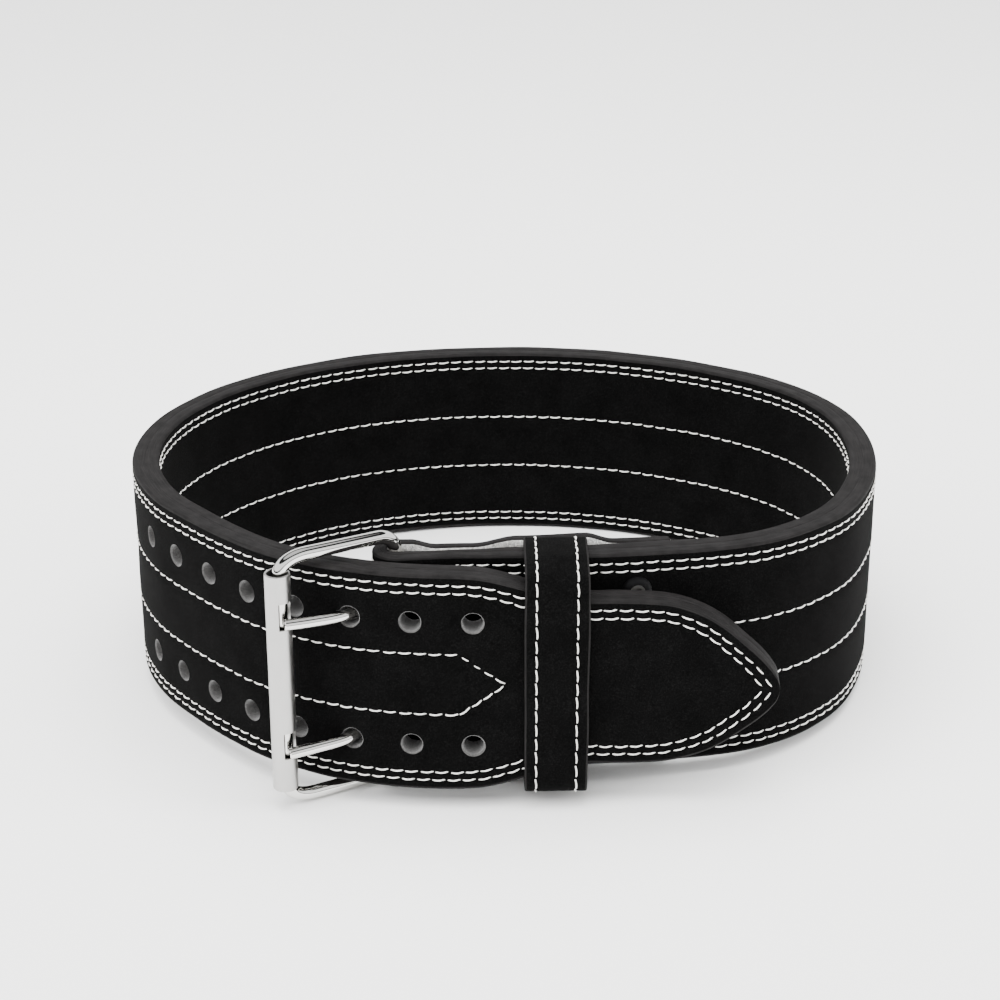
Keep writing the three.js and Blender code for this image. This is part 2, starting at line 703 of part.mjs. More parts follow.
function addPiece(name, geometry, material) {
  const mesh = new THREE.Mesh(geometry, material);
  mesh.name = name;
  belt.add(mesh);
}

const strap = strapCuts().reduce(
  (solid, cut) => solid.subtract(toSolid(cut)),
  toSolid(loft(strapSections())),
);
addPiece('strap', toGeometry(strap), suede);
addPiece('keeper', keeperGeometry(), suede);
addPiece('buckle_frame', frameGeometry(), nickel);
addPiece('roller', rollerGeometry(), satin);
for (const { name, height, droop } of prongs) addPiece(name, prongGeometry(height, droop), nickel);
for (const { name, frame, grip } of rivets) {
  addPiece(name, rivetGeometry(grip).applyMatrix4(frame), steel);
}

const floor = floorUnder(belt.children);
belt.quaternion.setFromUnitVectors(floor.normal, new THREE.Vector3(0, 0, 1));
const box = new THREE.Box3().setFromObject(belt, true);
belt.position.set(-(box.min.x + box.max.x) / 2, -(box.min.y + box.max.y) / 2, -box.min.z);

export default belt;
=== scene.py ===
"""A suede leather weightlifting belt, buckled into a loop and standing on its lower edge.

Lengths are metres. The belt is shaped upright, with its lower edge in Z = 0 and the buckle towards
-Y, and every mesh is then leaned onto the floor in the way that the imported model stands.
"""
import bisect
import math
from collections import namedtuple

import bmesh
import bpy
from mathutils import Matrix, Vector, noise


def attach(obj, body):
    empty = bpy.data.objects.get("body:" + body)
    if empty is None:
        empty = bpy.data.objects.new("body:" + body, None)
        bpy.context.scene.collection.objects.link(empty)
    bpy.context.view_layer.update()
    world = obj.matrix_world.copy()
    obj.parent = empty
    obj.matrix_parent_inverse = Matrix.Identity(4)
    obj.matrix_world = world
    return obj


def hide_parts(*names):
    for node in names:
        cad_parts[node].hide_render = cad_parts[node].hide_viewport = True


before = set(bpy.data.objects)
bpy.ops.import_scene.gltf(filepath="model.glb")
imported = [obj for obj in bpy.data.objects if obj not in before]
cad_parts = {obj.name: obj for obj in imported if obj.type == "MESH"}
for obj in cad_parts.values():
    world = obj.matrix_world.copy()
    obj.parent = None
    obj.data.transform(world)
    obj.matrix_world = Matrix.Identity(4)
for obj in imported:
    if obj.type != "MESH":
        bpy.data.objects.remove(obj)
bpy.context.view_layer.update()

bl_info = {
    "name": "Weightlifting belt",
    "version": (1, 0, 0),
    "blender": (4, 5, 0),
    "location": "3D View > Sidebar > Belt",
    "description": "Builds a buckled suede lifting belt around its packed model",
    "category": "Add Mesh",
}

MM = 0.001
BODY = "root"

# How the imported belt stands: its own upward direction, and where its own middle has gone
BELT_UP = Vector((0.01254635, 0.02779262, 0.99953497))
BELT_MIDDLE = Vector((0.0130578, 0.5831642, 4.7901671)) * MM

# The loop seen from above: turn from +X in degrees, and the reach of the outer face from the
# middle as a share of an ellipse of HALF_SPAN and REAR_DEPTH
PLAN = [
    (-90, 0.858), (-66, 0.913), (-50, 0.99), (-34, 1.013), (-18, 0.999), (0, 0.996),
    (30, 1.026), (60, 1.007), (90, 0.997), (120, 1.006), (150, 1.006), (180, 1.002),
    (198, 0.997), (214, 0.989), (230, 0.971), (250, 0.898),
]
HALF_SPAN = 176 * MM
REAR_DEPTH = 154 * MM

# How far the strap stands off that loop: turn, belt thicknesses, and shares of TONGUE_AIR
LIFT = [
    (-114, 0, 0.88), (-104, 0, 0.27), (-94, 0, 0), (206, 0, 0), (216, 0, 0), (226, 0.24, 0),
    (236, 0.8, 0.06), (246, 1, 0.52), (258, 1, 0.85), (270, 1, 0.88), (282, 1, 0.66),
    (294, 1, 0.91), (304, 1, 1.68), (312, 1, 3.03),
]
TONGUE_AIR = 10 * MM
TURN_STEP = 0.5
TURNS_PAST_TIP = 8

# The skived buckle end: share of FLAP_LENGTH from the fold, main layer and flap as shares of the
# thickness, and the room between them as shares of the bar's room and of the keeper's
BUCKLE_END = [
    (0, 0.64, 0.4, 1, 0), (0.05, 0.64, 0.4, 0.95, 0), (0.14, 0.58, 0.36, 0.32, 0),
    (0.26, 0.58, 0.36, 0.32, 0), (0.42, 0.78, 0.38, 0, 0.95), (0.68, 0.96, 0.38, 0, 0.95),
    (0.78, 1, 0.38, 0, 0.08), (0.92, 1, 0.38, 0, 0.08), (1, 1, 0.34, 0, 0.06),
]
MAIN, FLAP, BAR, KEEPER = 1, 2, 3, 4
FOLD_TURN = -106.5
FLAP_LENGTH = 118 * MM
BAR_PLAY = 0.5 * MM
BAR_ROOM = 8 * MM
KEEPER_ROOM = 9 * MM
SLOT_MARGIN = 1 * MM

# The tongue past the last hole: share of TONGUE_LENGTH, and half width as a share of half the belt
TONGUE = [
    (-0.1, 1), (-0.04, 0.998), (0.03, 0.982), (0.09, 0.948), (0.165, 0.89), (0.27, 0.797),
    (0.37, 0.762), (0.47, 0.765), (0.57, 0.757), (0.64, 0.74), (0.7, 0.7), (0.76, 0.637),
    (0.82, 0.542), (0.88, 0.415), (0.94, 0.277), (0.985, 0.135), (1, 0.03),
]
TONGUE_LENGTH = 129 * MM
TIP_SAG = 3 * MM
NOSE_FROM = 0.985
PRONG_TURN = 246.8
HOLE_PITCH = 26.2 * MM
HOLE_COUNT = 8
PRONG_HOLE = 6
HOLE_ROW_SPACING = 57 * MM

# Buckle
RAIL_SPACING = 112 * MM
CORNER_RADIUS = 8 * MM
FRONT_BEND = 12 * MM
FRONT_BEND_RISE = 7 * MM
ROLLER_TURN = 239.2
ROLLER_AIR = 9.3 * MM
ROLLER_LENGTH = 100 * MM
ROLLER_WALL = 1 * MM
NOTCH_HEIGHT = 12 * MM
NOTCH_REACH = 2.1 * MM
PRONG_PLAY = 0.3 * MM
PRONG_GROOVE = 0.4 * MM
LOWER_PRONG_DROOP = 3 * MM
PRONG_ROOT = 0.3
PRONG_EXIT = 0.28
PRONG_KNEE = 2.4
PRONG_BULGE = 2.2 * MM
PRONG_OVERHANG = 1.2 * MM

# Keeper: its passage, from the inside of the belt out to the front of the tongue, and up the belt
KEEPER_PASSAGE = [
    (0, 0), (0.62, 0), (0.92, 0.012), (1, 0.045), (1, 0.925), (0.93, 0.965), (0.6, 1), (0, 1),
]
KEEPER_FROM_FOLD = 0.445
KEEPER_THICK = 3 * MM
KEEPER_ROUND = 2 * MM
KEEPER_EDGE = 0.8 * MM
KEEPER_SEAM = 5 * MM

# Rivets: their columns as shares of FLAP_LENGTH from the fold, and the rings of faces, out from the
# dimple, that are blackened
RIVET_COLUMNS = (0.2, 0.85)
RIVET_ROW_SPACING = 33 * MM
RIVET_SHANK = 4 * MM
RIVET_SIDES = 40
CAP_RINGS = range(5, 11)

# Gap kept between pieces that touch, and how far a cutting tool stands out of what it cuts
CLEARANCE = 0.3 * MM
TOOL_OVERRUN = 2 * MM

# Seams along the strap: how far in from an edge and from the middle, where the middle seams close
# before and after the last hole, how far a stitch strays, and the groove that a seam presses
EDGE_SEAMS = (4.6 * MM, 8.3 * MM)
MIDDLE_SEAM = 14 * MM
SEAM_CLOSES_BEFORE = 6 * MM
SEAM_CLOSES_AFTER = 13.7 * MM
FLAP_END_SEAM = 4 * MM
STRAY_ALONG = 0.25 * MM
STRAY_ACROSS = 0.12 * MM
STRETCH_SLACK = 0.9999
GROOVE_HALF = 0.9 * MM
GROOVE_DEPTH = 0.35 * MM

# Leather kept true to its edge, the narrow end where it can't be, the line between its two layers,
# the slow waves that handling leaves in its faces and its edges, the points in a corner's rounding,
# and how many of them fray where the flesh side is bare
EDGE_BAND = 11.5 * MM
SEAM_BAND_HALF = 22 * MM
LAYER_JOINT = 0.2 * MM
FACE_WAVE = 0.35 * MM
RIM_WAVE = 0.4 * MM
RIM_ARC = 4
FRAYED_POINTS = 1

# Stage: the photograph's camera before the belt is leaned, the floor's half side, the light of
# the air and of the backdrop that the camera sees, the broad light overhead as its strength, its
# spread in degrees and where it comes from, and the softboxes as name, place, size and watts
CAMERA_PLACE = Vector((0, -0.956, 0.4563))
CAMERA_PITCH = 0.3824
FOCAL_LENGTH = 77.16
SENSOR_WIDTH = 36
VIEW_SHIFT = -0.0057
STAGE_REACH = 6
AIR_STRENGTH = 1.5
BACKDROP_STRENGTH = 1.6
SUN_STRENGTH = 3.6
SUN_ANGLE = 55
SUN_FROM = (-0.5, -0.9, 2.2)
SOFTBOXES = [
    ("softbox_above", (0.1, 0.1, 1.6), (1.6, 1.2), 46),
    ("softbox_left", (-1.5, -0.9, 1.0), (1.0, 1.2), 30),
    ("softbox_right", (1.6, -0.5, 0.9), (0.8, 1.2), 20),
]

# What shiny metal sees of the studio, from straight down to straight up: height of a direction as
# a share of 0 to 1, and brightness
STUDIO_BANDS = [
    (0, 0.75), (0.495, 0.9), (0.5, 0.03), (0.56, 0.03), (0.575, 1.8), (0.84, 1.8),
    (0.855, 0.03), (0.94, 0.03), (0.955, 0.9), (1, 1.0),
]

# The metals' finishes: least roughness, its spread, and depth of the fine scratches
METAL_FINISHES = {
    "steel_bright_nickel_plate": (0.03, 0.05, 0.02),
    "steel_satin_nickel_plate": (0.27, 0.12, 0.25),
    "steel_dull_nickel_plate": (0.32, 0.12, 0.1),
    "steel_black_oxide": (0.5, 0.15, 0.1),
}

# Order of the strap's materials on its mesh; the last, on the hole walls, is darkened as painted
# shade
SUEDE, EDGE, FLESH, BORE_PAINTED_SHADE = range(4)

Place = namedtuple("Place", "point along out")
Station = namedtuple("Station", "face back half middle length")
Column = namedtuple("Column", "height groove kind")


def linear(colour):
    """Linear RGBA of an sRGB hex value such as #1a1a1a."""
    shares = [int(colour[k:k + 2], 16) / 255 for k in (1, 3, 5)]
    return tuple(s / 12.92 if s <= 0.04045 else ((s + 0.055) / 1.055) ** 2.4 for s in shares) + (1,)


def smooth(rows, place, column=1):
    """A column of a table at a place, as a cubic whose slopes come from the rows beside it."""
    last = len(rows) - 1
    at = min(max(place, rows[0][0]), rows[last][0])
    above = next(k for k in range(1, last + 1) if at <= rows[k][0])

    def slope(k):
        before, after = rows[max(k - 1, 0)], rows[min(k + 1, last)]
        return (after[column] - before[column]) / (after[0] - before[0])

    low, high = rows[above - 1], rows[above]
    span = high[0] - low[0]
    u = (at - low[0]) / span
    return ((2 * u ** 3 - 3 * u ** 2 + 1) * low[column]
            + (u ** 3 - 2 * u ** 2 + u) * span * slope(above - 1)
            + (3 * u ** 2 - 2 * u ** 3) * high[column]
            + (u ** 3 - u ** 2) * span * slope(above))


def eased(rows, place, column=1):
    """A column of a table at a place, easing from row to row and level at each row."""
    if place >= rows[-1][0]:
        return rows[-1][column]
    above = next(k for k in range(1, len(rows)) if place <= rows[k][0])
    low, high = rows[above - 1], rows[above]
    u = min(max((place - low[0]) / (high[0] - low[0]), 0), 1)
    return low[column] + (high[column] - low[column]) * u * u * (3 - 2 * u)


def steps(start, end, size):
    """Even places from start up to but not including end, about size apart."""
    count = max(1, round(abs(end - start) / size))
    return [start + (end - start) * k / count for k in range(count)]


PLAN_ROUND = [(turn + shift, reach) for shift in (-360, 0, 360) for turn, reach in PLAN]


def loop_point(turn):
    """Plan point of the outer face of the plain loop."""
    reach = smooth(PLAN_ROUND, turn)
    angle = math.radians(turn)
    return Vector((HALF_SPAN * reach * math.cos(angle), REAR_DEPTH * reach * math.sin(angle)))


def standing(point, along, height=0.0):
    """Frame standing on a plan point: x runs along, y into the belt and z up."""
    x = Vector((along.x, along.y, 0)).normalized()
    z = Vector((0, 0, 1))
    turn = Matrix((x, z.cross(x), z)).transposed().to_4x4()
    return Matrix.Translation((point.x, point.y, height)) @ turn


class BeltShape:
    """Where the leather and the metal run, from the sizes in the panel."""

    def __init__(self, sizes):
        self.sizes = sizes
        self.thick = sizes.thickness
        self.half_width = sizes.width / 2
        self.route = self.make_route()
        self.lengths = [length for _, _, length in self.route]
        prong_hole = next(length for turn, _, length in self.route if turn >= PRONG_TURN)
        self.holes = [prong_hole + (hole - PRONG_HOLE) * HOLE_PITCH
                      for hole in range(1, HOLE_COUNT + 1)]
        self.prong_hole = prong_hole
        self.tip = self.holes[-1] + TONGUE_LENGTH
        self.rows = [self.half_width + side * HOLE_ROW_SPACING / 2 for side in (-1, 1)]
        self.make_fold()

    def make_route(self):
        """The outer face from the fold to past the tip: turn, plan point and length."""
        route = []
        turn = FOLD_TURN
        while turn < LIFT[-1][0] + TURNS_PAST_TIP:
            ahead, behind = loop_point(turn + TURN_STEP / 2), loop_point(turn - TURN_STEP / 2)
            along = (ahead - behind).normalized()
            lift = self.thick * smooth(LIFT, turn) + TONGUE_AIR * smooth(LIFT, turn, 2)
            point = loop_point(turn) + Vector((along.y, -along.x)) * lift
            length = route[-1][2] + (point - route[-1][1]).length if route else 0.0
            route.append((turn, point, length))
            turn += TURN_STEP
        return route

    def at(self, length):
        """Point of the outer face, direction along and direction outwards."""
        above = min(max(1, bisect.bisect_left(self.lengths, length)), len(self.route) - 1)
        low, high = self.route[above - 1], self.route[above]
        share = (length - low[2]) / (high[2] - low[2])
        before = self.route[max(above - 2, 0)][1]
        after = self.route[min(above + 1, len(self.route) - 1)][1]
        along = (after - before).normalized()
        return Place(low[1].lerp(high[1], share), along, Vector((along.y, -along.x)))

    def layer(self, length, column):
        """Thickness of the main layer or of the flap at a length from the fold."""
        return self.thick * eased(BUCKLE_END, length / FLAP_LENGTH, column)

    def room(self, length):
        """Gap between the main layer and the flap."""
        along = length / FLAP_LENGTH
        bar, keeper = eased(BUCKLE_END, along, BAR), eased(BUCKLE_END, along, KEEPER)
        return max(CLEARANCE, BAR_ROOM * bar + KEEPER_ROOM * keeper)

    def make_fold(self):
        """The fold, the heel bar in it, and the wire that the roller turns on."""
        wire = self.sizes.wire / 2
        self.fold = self.at(0)
        self.fold_inner = self.room(0) / 2
        back = self.layer(0, MAIN) + self.fold_inner
        self.fold_centre = self.fold.point - self.fold.out * back
        self.bar = self.fold_centre - self.fold.along * (self.fold_inner - wire - BAR_PLAY)
        seat = next(length for turn, _, length in self.route if turn >= ROLLER_TURN)
        place = self.at(seat)
        radius = self.sizes.roller / 2
        self.roller = place.point + place.out * (ROLLER_AIR + radius)
        self.buckle_along = (self.bar - self.roller).normalized()
        self.buckle_out = Vector((self.buckle_along.y, -self.buckle_along.x))
        self.wire = self.roller + self.buckle_along * (radius - ROLLER_WALL - wire - BAR_PLAY)

    def half_height(self, length):
        """Half the strap's height, with the tongue's nose rounded off."""
        along = (length - self.holes[-1]) / TONGUE_LENGTH
        if along > NOSE_FROM:
            shoulder = smooth(TONGUE, NOSE_FROM)
            share = max(0, (1 - along) / (1 - NOSE_FROM))
            return self.half_width * max(shoulder * math.sqrt(share), 0.006)
        return self.half_width * smooth(TONGUE, along)

    def middle_height(self, length):
        """Height of the strap's middle line, which sags at the tip."""
        along = max(0, (length - self.holes[-1]) / TONGUE_LENGTH)
        return self.half_width - TIP_SAG * along ** 2

    def station(self, length):
        """Section of the strap at a length from the fold."""
        place = self.at(length)
        back = place.point - place.out * self.layer(length, MAIN)
        return Station(place.point, back, self.half_height(length),
                       self.middle_height(length), length)

    def flap_station(self, length):
        """Section of the flap, facing into the loop, at a length from the fold."""
        place = self.at(length)
        near = self.layer(length, MAIN) + self.room(length)
        far = near + self.layer(length, FLAP)
        return Station(place.point - place.out * far, place.point - place.out * near,
                       self.half_width, self.half_width, -length)

    def fold_station(self, share):
        """Section on the way round the fold, from the flap at 0 to the main layer at 1."""
        angle = math.pi * (share - 1)
        out = self.fold.out
        spoke = Vector((out.x * math.cos(angle) - out.y * math.sin(angle),
                        out.x * math.sin(angle) + out.y * math.cos(angle)))
        flap, main = self.layer(0, FLAP), self.layer(0, MAIN)
        thick = flap + (main - flap) * share
        return Station(self.fold_centre + spoke * (self.fold_inner + thick),
                       self.fold_centre + spoke * self.fold_inner,
                       self.half_width, self.half_width, 0.0)

    def stations(self):
        """Every section from the flap's free end, round the fold and the loop, to the tip."""
        fine, coarse = 2.4 * MM, 3 * MM
        nose = self.holes[-1] + NOSE_FROM * TONGUE_LENGTH
        rounding = [self.sizes.edge_round * share ** 2 for share in steps(0, 1, 0.2)]
        found = [self.pinched(self.flap_station(FLAP_LENGTH - near), near) for near in rounding]
        found += [self.flap_station(FLAP_LENGTH - length)
                  for length in steps(self.sizes.edge_round, FLAP_LENGTH, fine)]
        found += [self.fold_station(share) for share in steps(0, 1, 1 / 28)]
        lengths = steps(0, FLAP_LENGTH, fine) + steps(FLAP_LENGTH, self.holes[-1], coarse)
        found += [self.station(length) for length in lengths + steps(self.holes[-1], nose, fine)]
        for near in [(self.tip - nose) * (1 - share) ** 2 for share in steps(0, 1, 0.1)] + [0.0]:
            found.append(self.pinched(self.station(self.tip - near), near))
        return found

    def pinched(self, station, near):
        """A section near a free end, drawn in on all sides so that the end is rounded."""
        thick = (station.back - station.face).length
        size = min(self.sizes.edge_round, thick / 3)
        draw = size - math.sqrt(max(0, size ** 2 - max(0, size - near) ** 2))
        inward = (station.back - station.face).normalized()
        return Station(station.face + inward * draw, station.back - inward * draw,
                       max(station.half - draw, 0.3 * MM), station.middle, station.length)

    def prong_points(self, height, droop):
        """Middle line of a prong, from by the heel bar through the tongue to the roller's wire."""
        hole = self.at(self.prong_hole)
        middle = hole.point - hole.out * self.thick / 2
        front = hole.point - hole.along * PRONG_EXIT * self.sizes.hole
        rest = (self.sizes.wire + self.sizes.prong) / 2 + CLEARANCE
        tip = self.wire + self.buckle_out * rest - self.buckle_along * PRONG_OVERHANG
        near_tip = (tip + self.buckle_along * PRONG_KNEE * self.sizes.prong
                    + self.buckle_out * PRONG_BULGE)
        plan = [self.bar.lerp(middle, PRONG_ROOT), middle, front, near_tip, tip]
        total = (tip - plan[0]).length
        rows = []
        for point in plan:
            drop = droop * ((point - plan[0]).length / total) ** 2
            place = rows[-1][0] + (point - rows[-1][4]).length if rows else 0.0
            rows.append((place, point.x, point.y, height - drop, point))
        places = steps(0, rows[-1][0], 1.2 * MM) + [rows[-1][0]]
        return [Vector([smooth(rows, place, column) for column in (1, 2, 3)]) for place in places]


def lean(mesh):
    """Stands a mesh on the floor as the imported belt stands."""
    turn = Vector((0, 0, 1)).rotation_difference(BELT_UP).to_matrix().to_4x4()
    mesh.transform(Matrix.Translation(BELT_MIDDLE) @ turn)


def new_object(name, points, faces, materials=()):
    """Object of a mesh in the scene, with its faces pointing outwards."""
    mesh = bpy.data.meshes.new(name)
    mesh.from_pydata([tuple(point) for point in points], [], faces)
    for material in materials:
        mesh.materials.append(material)
    shell = bmesh.new()
    shell.from_mesh(mesh)
    bmesh.ops.recalc_face_normals(shell, faces=shell.faces)
    shell.to_mesh(mesh)
    shell.free()
    made = bpy.data.objects.new(name, mesh)
    bpy.context.scene.collection.objects.link(made)
    return made


def ring_faces(rings, sides, closed=False):
    """Quads through rings of points, with a face over each end or joined end to end."""
    count = rings if closed else rings - 1
    faces = []
    for ring in range(count):
        near, far = ring * sides, (ring + 1) % rings * sides
        for side in range(sides):
            beside = (side + 1) % sides
            faces.append((near + side, near + beside, far + beside, far + side))
    if not closed:
        last = (rings - 1) * sides
        faces += [tuple(range(sides)), tuple(range(last + sides - 1, last - 1, -1))]
    return faces


def sweep(points, radius, sides, closed=False, end_round=0.0):
    """Round bar along a path: its points and faces. Its ends are chamfered by end_round."""
    count = len(points)
    rings = []
    normal = None
    for k, point in enumerate(points):
        before = points[k - 1] if k or closed else point
        after = points[(k + 1) % count] if k < count - 1 or closed else point
        along = (after - before).normalized()
        start = normal or (Vector((0, 0, 1)) if abs(along.z) < 0.9 else Vector((1, 0, 0)))
        normal = (start - along * start.dot(along)).normalized()
        rings.append((point, along, normal, radius))
    if end_round and not closed:
        first, last = rings[0], rings[-1]
        rings[0] = (first[0] + first[1] * end_round, *first[1:])
        rings[-1] = (last[0] - last[1] * end_round, *last[1:])
        rings.insert(0, (*first[:3], radius - end_round))
        rings.append((*last[:3], radius - end_round))
    found = []
    for point, along, across, size in rings:
        beside = along.cross(across)
        for side in range(sides):
            angle = 2 * math.pi * side / sides
            found.append(point + (across * math.cos(angle) + beside * math.sin(angle)) * size)
    return found, ring_faces(len(rings), sides, closed)


def lathe(profile, sides, place, wobble=0.0):
    """Solid turned about y from (radius, depth) pairs that start and end on the axis."""
    points = []
    for radius, depth in profile[1:-1]:
        for side in range(sides):
            angle = 2 * math.pi * side / sides
            spot = Vector((math.cos(angle), depth / MM, math.sin(angle)))
            size = radius + wobble * noise.noise(spot * 2 + place.translation / MM)
            points.append(Vector((spot.x * size, depth, spot.z * size)))
    faces = ring_faces(len(profile) - 2, sides)[:-2]
    low, high = len(points), len(points) + 1
    points += [Vector((0, profile[0][1], 0)), Vector((0, profile[-1][1], 0))]
    last = (len(profile) - 3) * sides
    for side in range(sides):
        beside = (side + 1) % sides
        faces += [(side, low, beside), (last + side, last + beside, high)]
    return [place @ point for point in points], faces


def joined(shells):
    """One list of points and one of faces from several."""
    points, faces = [], []
    for some_points, some_faces in shells:
        start = len(points)
        points += some_points
        faces += [tuple(start + corner for corner in face) for face in some_faces]
    return points, faces


def combine(solid, tool, operation):
    """Cuts a tool from a solid or joins it on, and drops the tool."""
    modifier = solid.modifiers.new(operation.lower(), "BOOLEAN")
    modifier.operation = operation
    modifier.solver = "MANIFOLD"
    modifier.object = tool
    graph = bpy.context.evaluated_depsgraph_get()
    result = bpy.data.meshes.new_from_object(solid.evaluated_get(graph))
    solid.modifiers.clear()
    worn = solid.data
    solid.data = result
    bpy.data.meshes.remove(worn)
    bpy.data.objects.remove(tool)
    if not result.polygons:
        raise RuntimeError(f"nothing is left of {solid.name} after {operation.lower()}")


def finish_piece(piece, nodes, crease=40):
    """Leans a piece, smooths its shading, hangs it on the belt's body and hides the imported parts
    that it stands for.
    """
    lean(piece.data)
    piece.data.shade_smooth()
    piece.data.set_sharp_from_angle(angle=math.radians(crease))
    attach(piece, BODY)
    if nodes:
        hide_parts(*nodes)


def face_columns(shape):
    """Points up one face of a full section, as height from the middle, groove and kind of seam."""
    groove = [(offset * GROOVE_HALF, math.cos(offset * math.pi / 2) ** 2)
              for offset in (-1, -0.5, 0, 0.5, 1)]
    half = shape.half_width
    upper = [Column(half - seam + offset, depth, "edge")
             for seam in EDGE_SEAMS for offset, depth in groove]
    upper += [Column(MIDDLE_SEAM + offset, depth, "middle") for offset, depth in groove]
    plain = [half - shape.sizes.edge_round, half - 2.5 * MM, half - EDGE_BAND]
    plain += [height * MM for height in (34.5, 30, 25, 20, 8.5, 4.5)]
    upper += [Column(height, 0, "plain") for height in plain]
    upper.sort()
    lower = [Column(-height, groove, kind) for height, groove, kind in reversed(upper)]
    return lower + [Column(0, 0, "plain")] + upper


def strap_section(shape, station, columns):
    """Points round a section as (depth, height): up the outer face, over, down the inner, under."""
    thick = (station.back - station.face).length
    half = station.half
    edge_round = min(shape.sizes.edge_round, thick / 3, half / 3)
    spread = math.hypot(1, (shape.half_height(station.length + MM)
                            - shape.half_height(station.length - MM)) / (2 * MM))
    near_edge = min(spread, half / SEAM_BAND_HALF)
    inner_band = half - edge_round - (EDGE_BAND - shape.sizes.edge_round) * near_edge
    past_hole = (station.length - shape.holes[-1]) / SEAM_CLOSES_BEFORE
    fades = {
        "plain": 0,
        "edge": min(max((half - SEAM_BAND_HALF) / SEAM_BAND_HALF + 1 / 2, 0), 1),
        "middle": min(max(-past_hole, 0), 1),
    }
    face = []
    for height, groove, kind in columns:
        from_edge = shape.half_width - abs(height)
        if from_edge <= EDGE_BAND:
            reach = half - edge_round - (from_edge - shape.sizes.edge_round) * near_edge
        else:
            reach = inner_band * abs(height) / (shape.half_width - EDGE_BAND)
        face.append((groove * GROOVE_DEPTH * fades[kind], math.copysign(reach, height)))
    arc = [math.radians(90 * k / RIM_ARC) for k in range(1, RIM_ARC + 1)]
    rim = [(edge_round * (1 - math.cos(angle)), half - edge_round * (1 - math.sin(angle)))
           for angle in arc]
    joint = LAYER_JOINT * min(1, half / SEAM_BAND_HALF)
    flat = [(edge_round + (thick - 2 * edge_round) * share, half - joint * dip)
            for share, dip in ((0.25, 0), (0.46, 0.2), (0.5, 1), (0.54, 0.2), (0.75, 0))]
    rim = rim + flat + [(thick - depth, height) for depth, height in reversed(rim)]
    inner = [(thick - depth, height) for depth, height in reversed(face)]
    under = [(thick - depth, -height) for depth, height in rim]
    return face + rim + inner + under


def roughened(spot, size, reach):
    """Small swell of hand-worked leather at a point."""
    return reach * noise.noise(spot / size)


def strap_mesh(shape, materials):
    """The strap as one closed loft, with its faces marked as suede, cut edge or flesh side."""
    columns = face_columns(shape)
    stations = shape.stations()
    points, marks, travelled = [], [], []
    length = 0.0
    for k, station in enumerate(stations):
        if k:
            length += (station.face - stations[k - 1].face).length
        travelled.append(length)
        inward = (station.back - station.face).normalized()
        section = strap_section(shape, station, columns)
        thick = (station.back - station.face).length
        for depth, height in section:
            spot = Vector((length, depth * 3, height))
            near_rim = (abs(height) / station.half) ** 6 if station.half > SEAM_BAND_HALF else 0
            rise = roughened(spot, 30 * MM, RIM_WAVE) * near_rim
            push = roughened(spot + Vector((1, 0, 0)), 22 * MM, FACE_WAVE)
            if depth > thick / 2:
                push *= 0 if station.length < FLAP_LENGTH else -1
            plan = station.face + inward * (depth + push * (1 - near_rim))
            points.append(Vector((plan.x, plan.y, station.middle + height + rise)))
        marks.append(FLESH if station.length < FLAP_LENGTH else SUEDE)
    sides = len(section)
    faces = ring_faces(len(stations), sides)
    strap = new_object("strap_leather", points, faces, materials)
    up_face, rim_count = len(columns), (sides - 2 * len(columns)) // 2
    around = [0.0]
    full = section_at_full(shape, columns)
    for before, after in zip(full, full[1:] + full[:1]):
        around.append(around[-1] + math.dist(before, after))
    layer = strap.data.uv_layers.new(name="leather")
    for polygon in strap.data.polygons:
        ring, side = divmod(polygon.index, sides)
        if ring >= len(stations) - 1:
            polygon.material_index = EDGE
            continue
        frayed = FRAYED_POINTS if marks[ring] == FLESH else 0
        inner_from = up_face + rim_count - frayed
        inner_to = sides - rim_count - 1 + frayed
        if side < up_face - 1:
            polygon.material_index = SUEDE
        elif side < inner_from or side >= inner_to:
            polygon.material_index = EDGE
        else:
            polygon.material_index = marks[ring]
        for corner in polygon.loop_indices:
            row, column = divmod(strap.data.loops[corner].vertex_index, sides)
            turn = sides if column == 0 and side == sides - 1 else column
            layer.data[corner].uv = (travelled[row], around[turn])
    return strap


def section_at_full(shape, columns):
    """The plain full section, whose distances round it give the strap's own coordinates."""
    body = Station(Vector((0, 0)), Vector((0, shape.thick)), shape.half_width,
                   shape.half_width, 2 * FLAP_LENGTH)
    return strap_section(shape, body, columns)


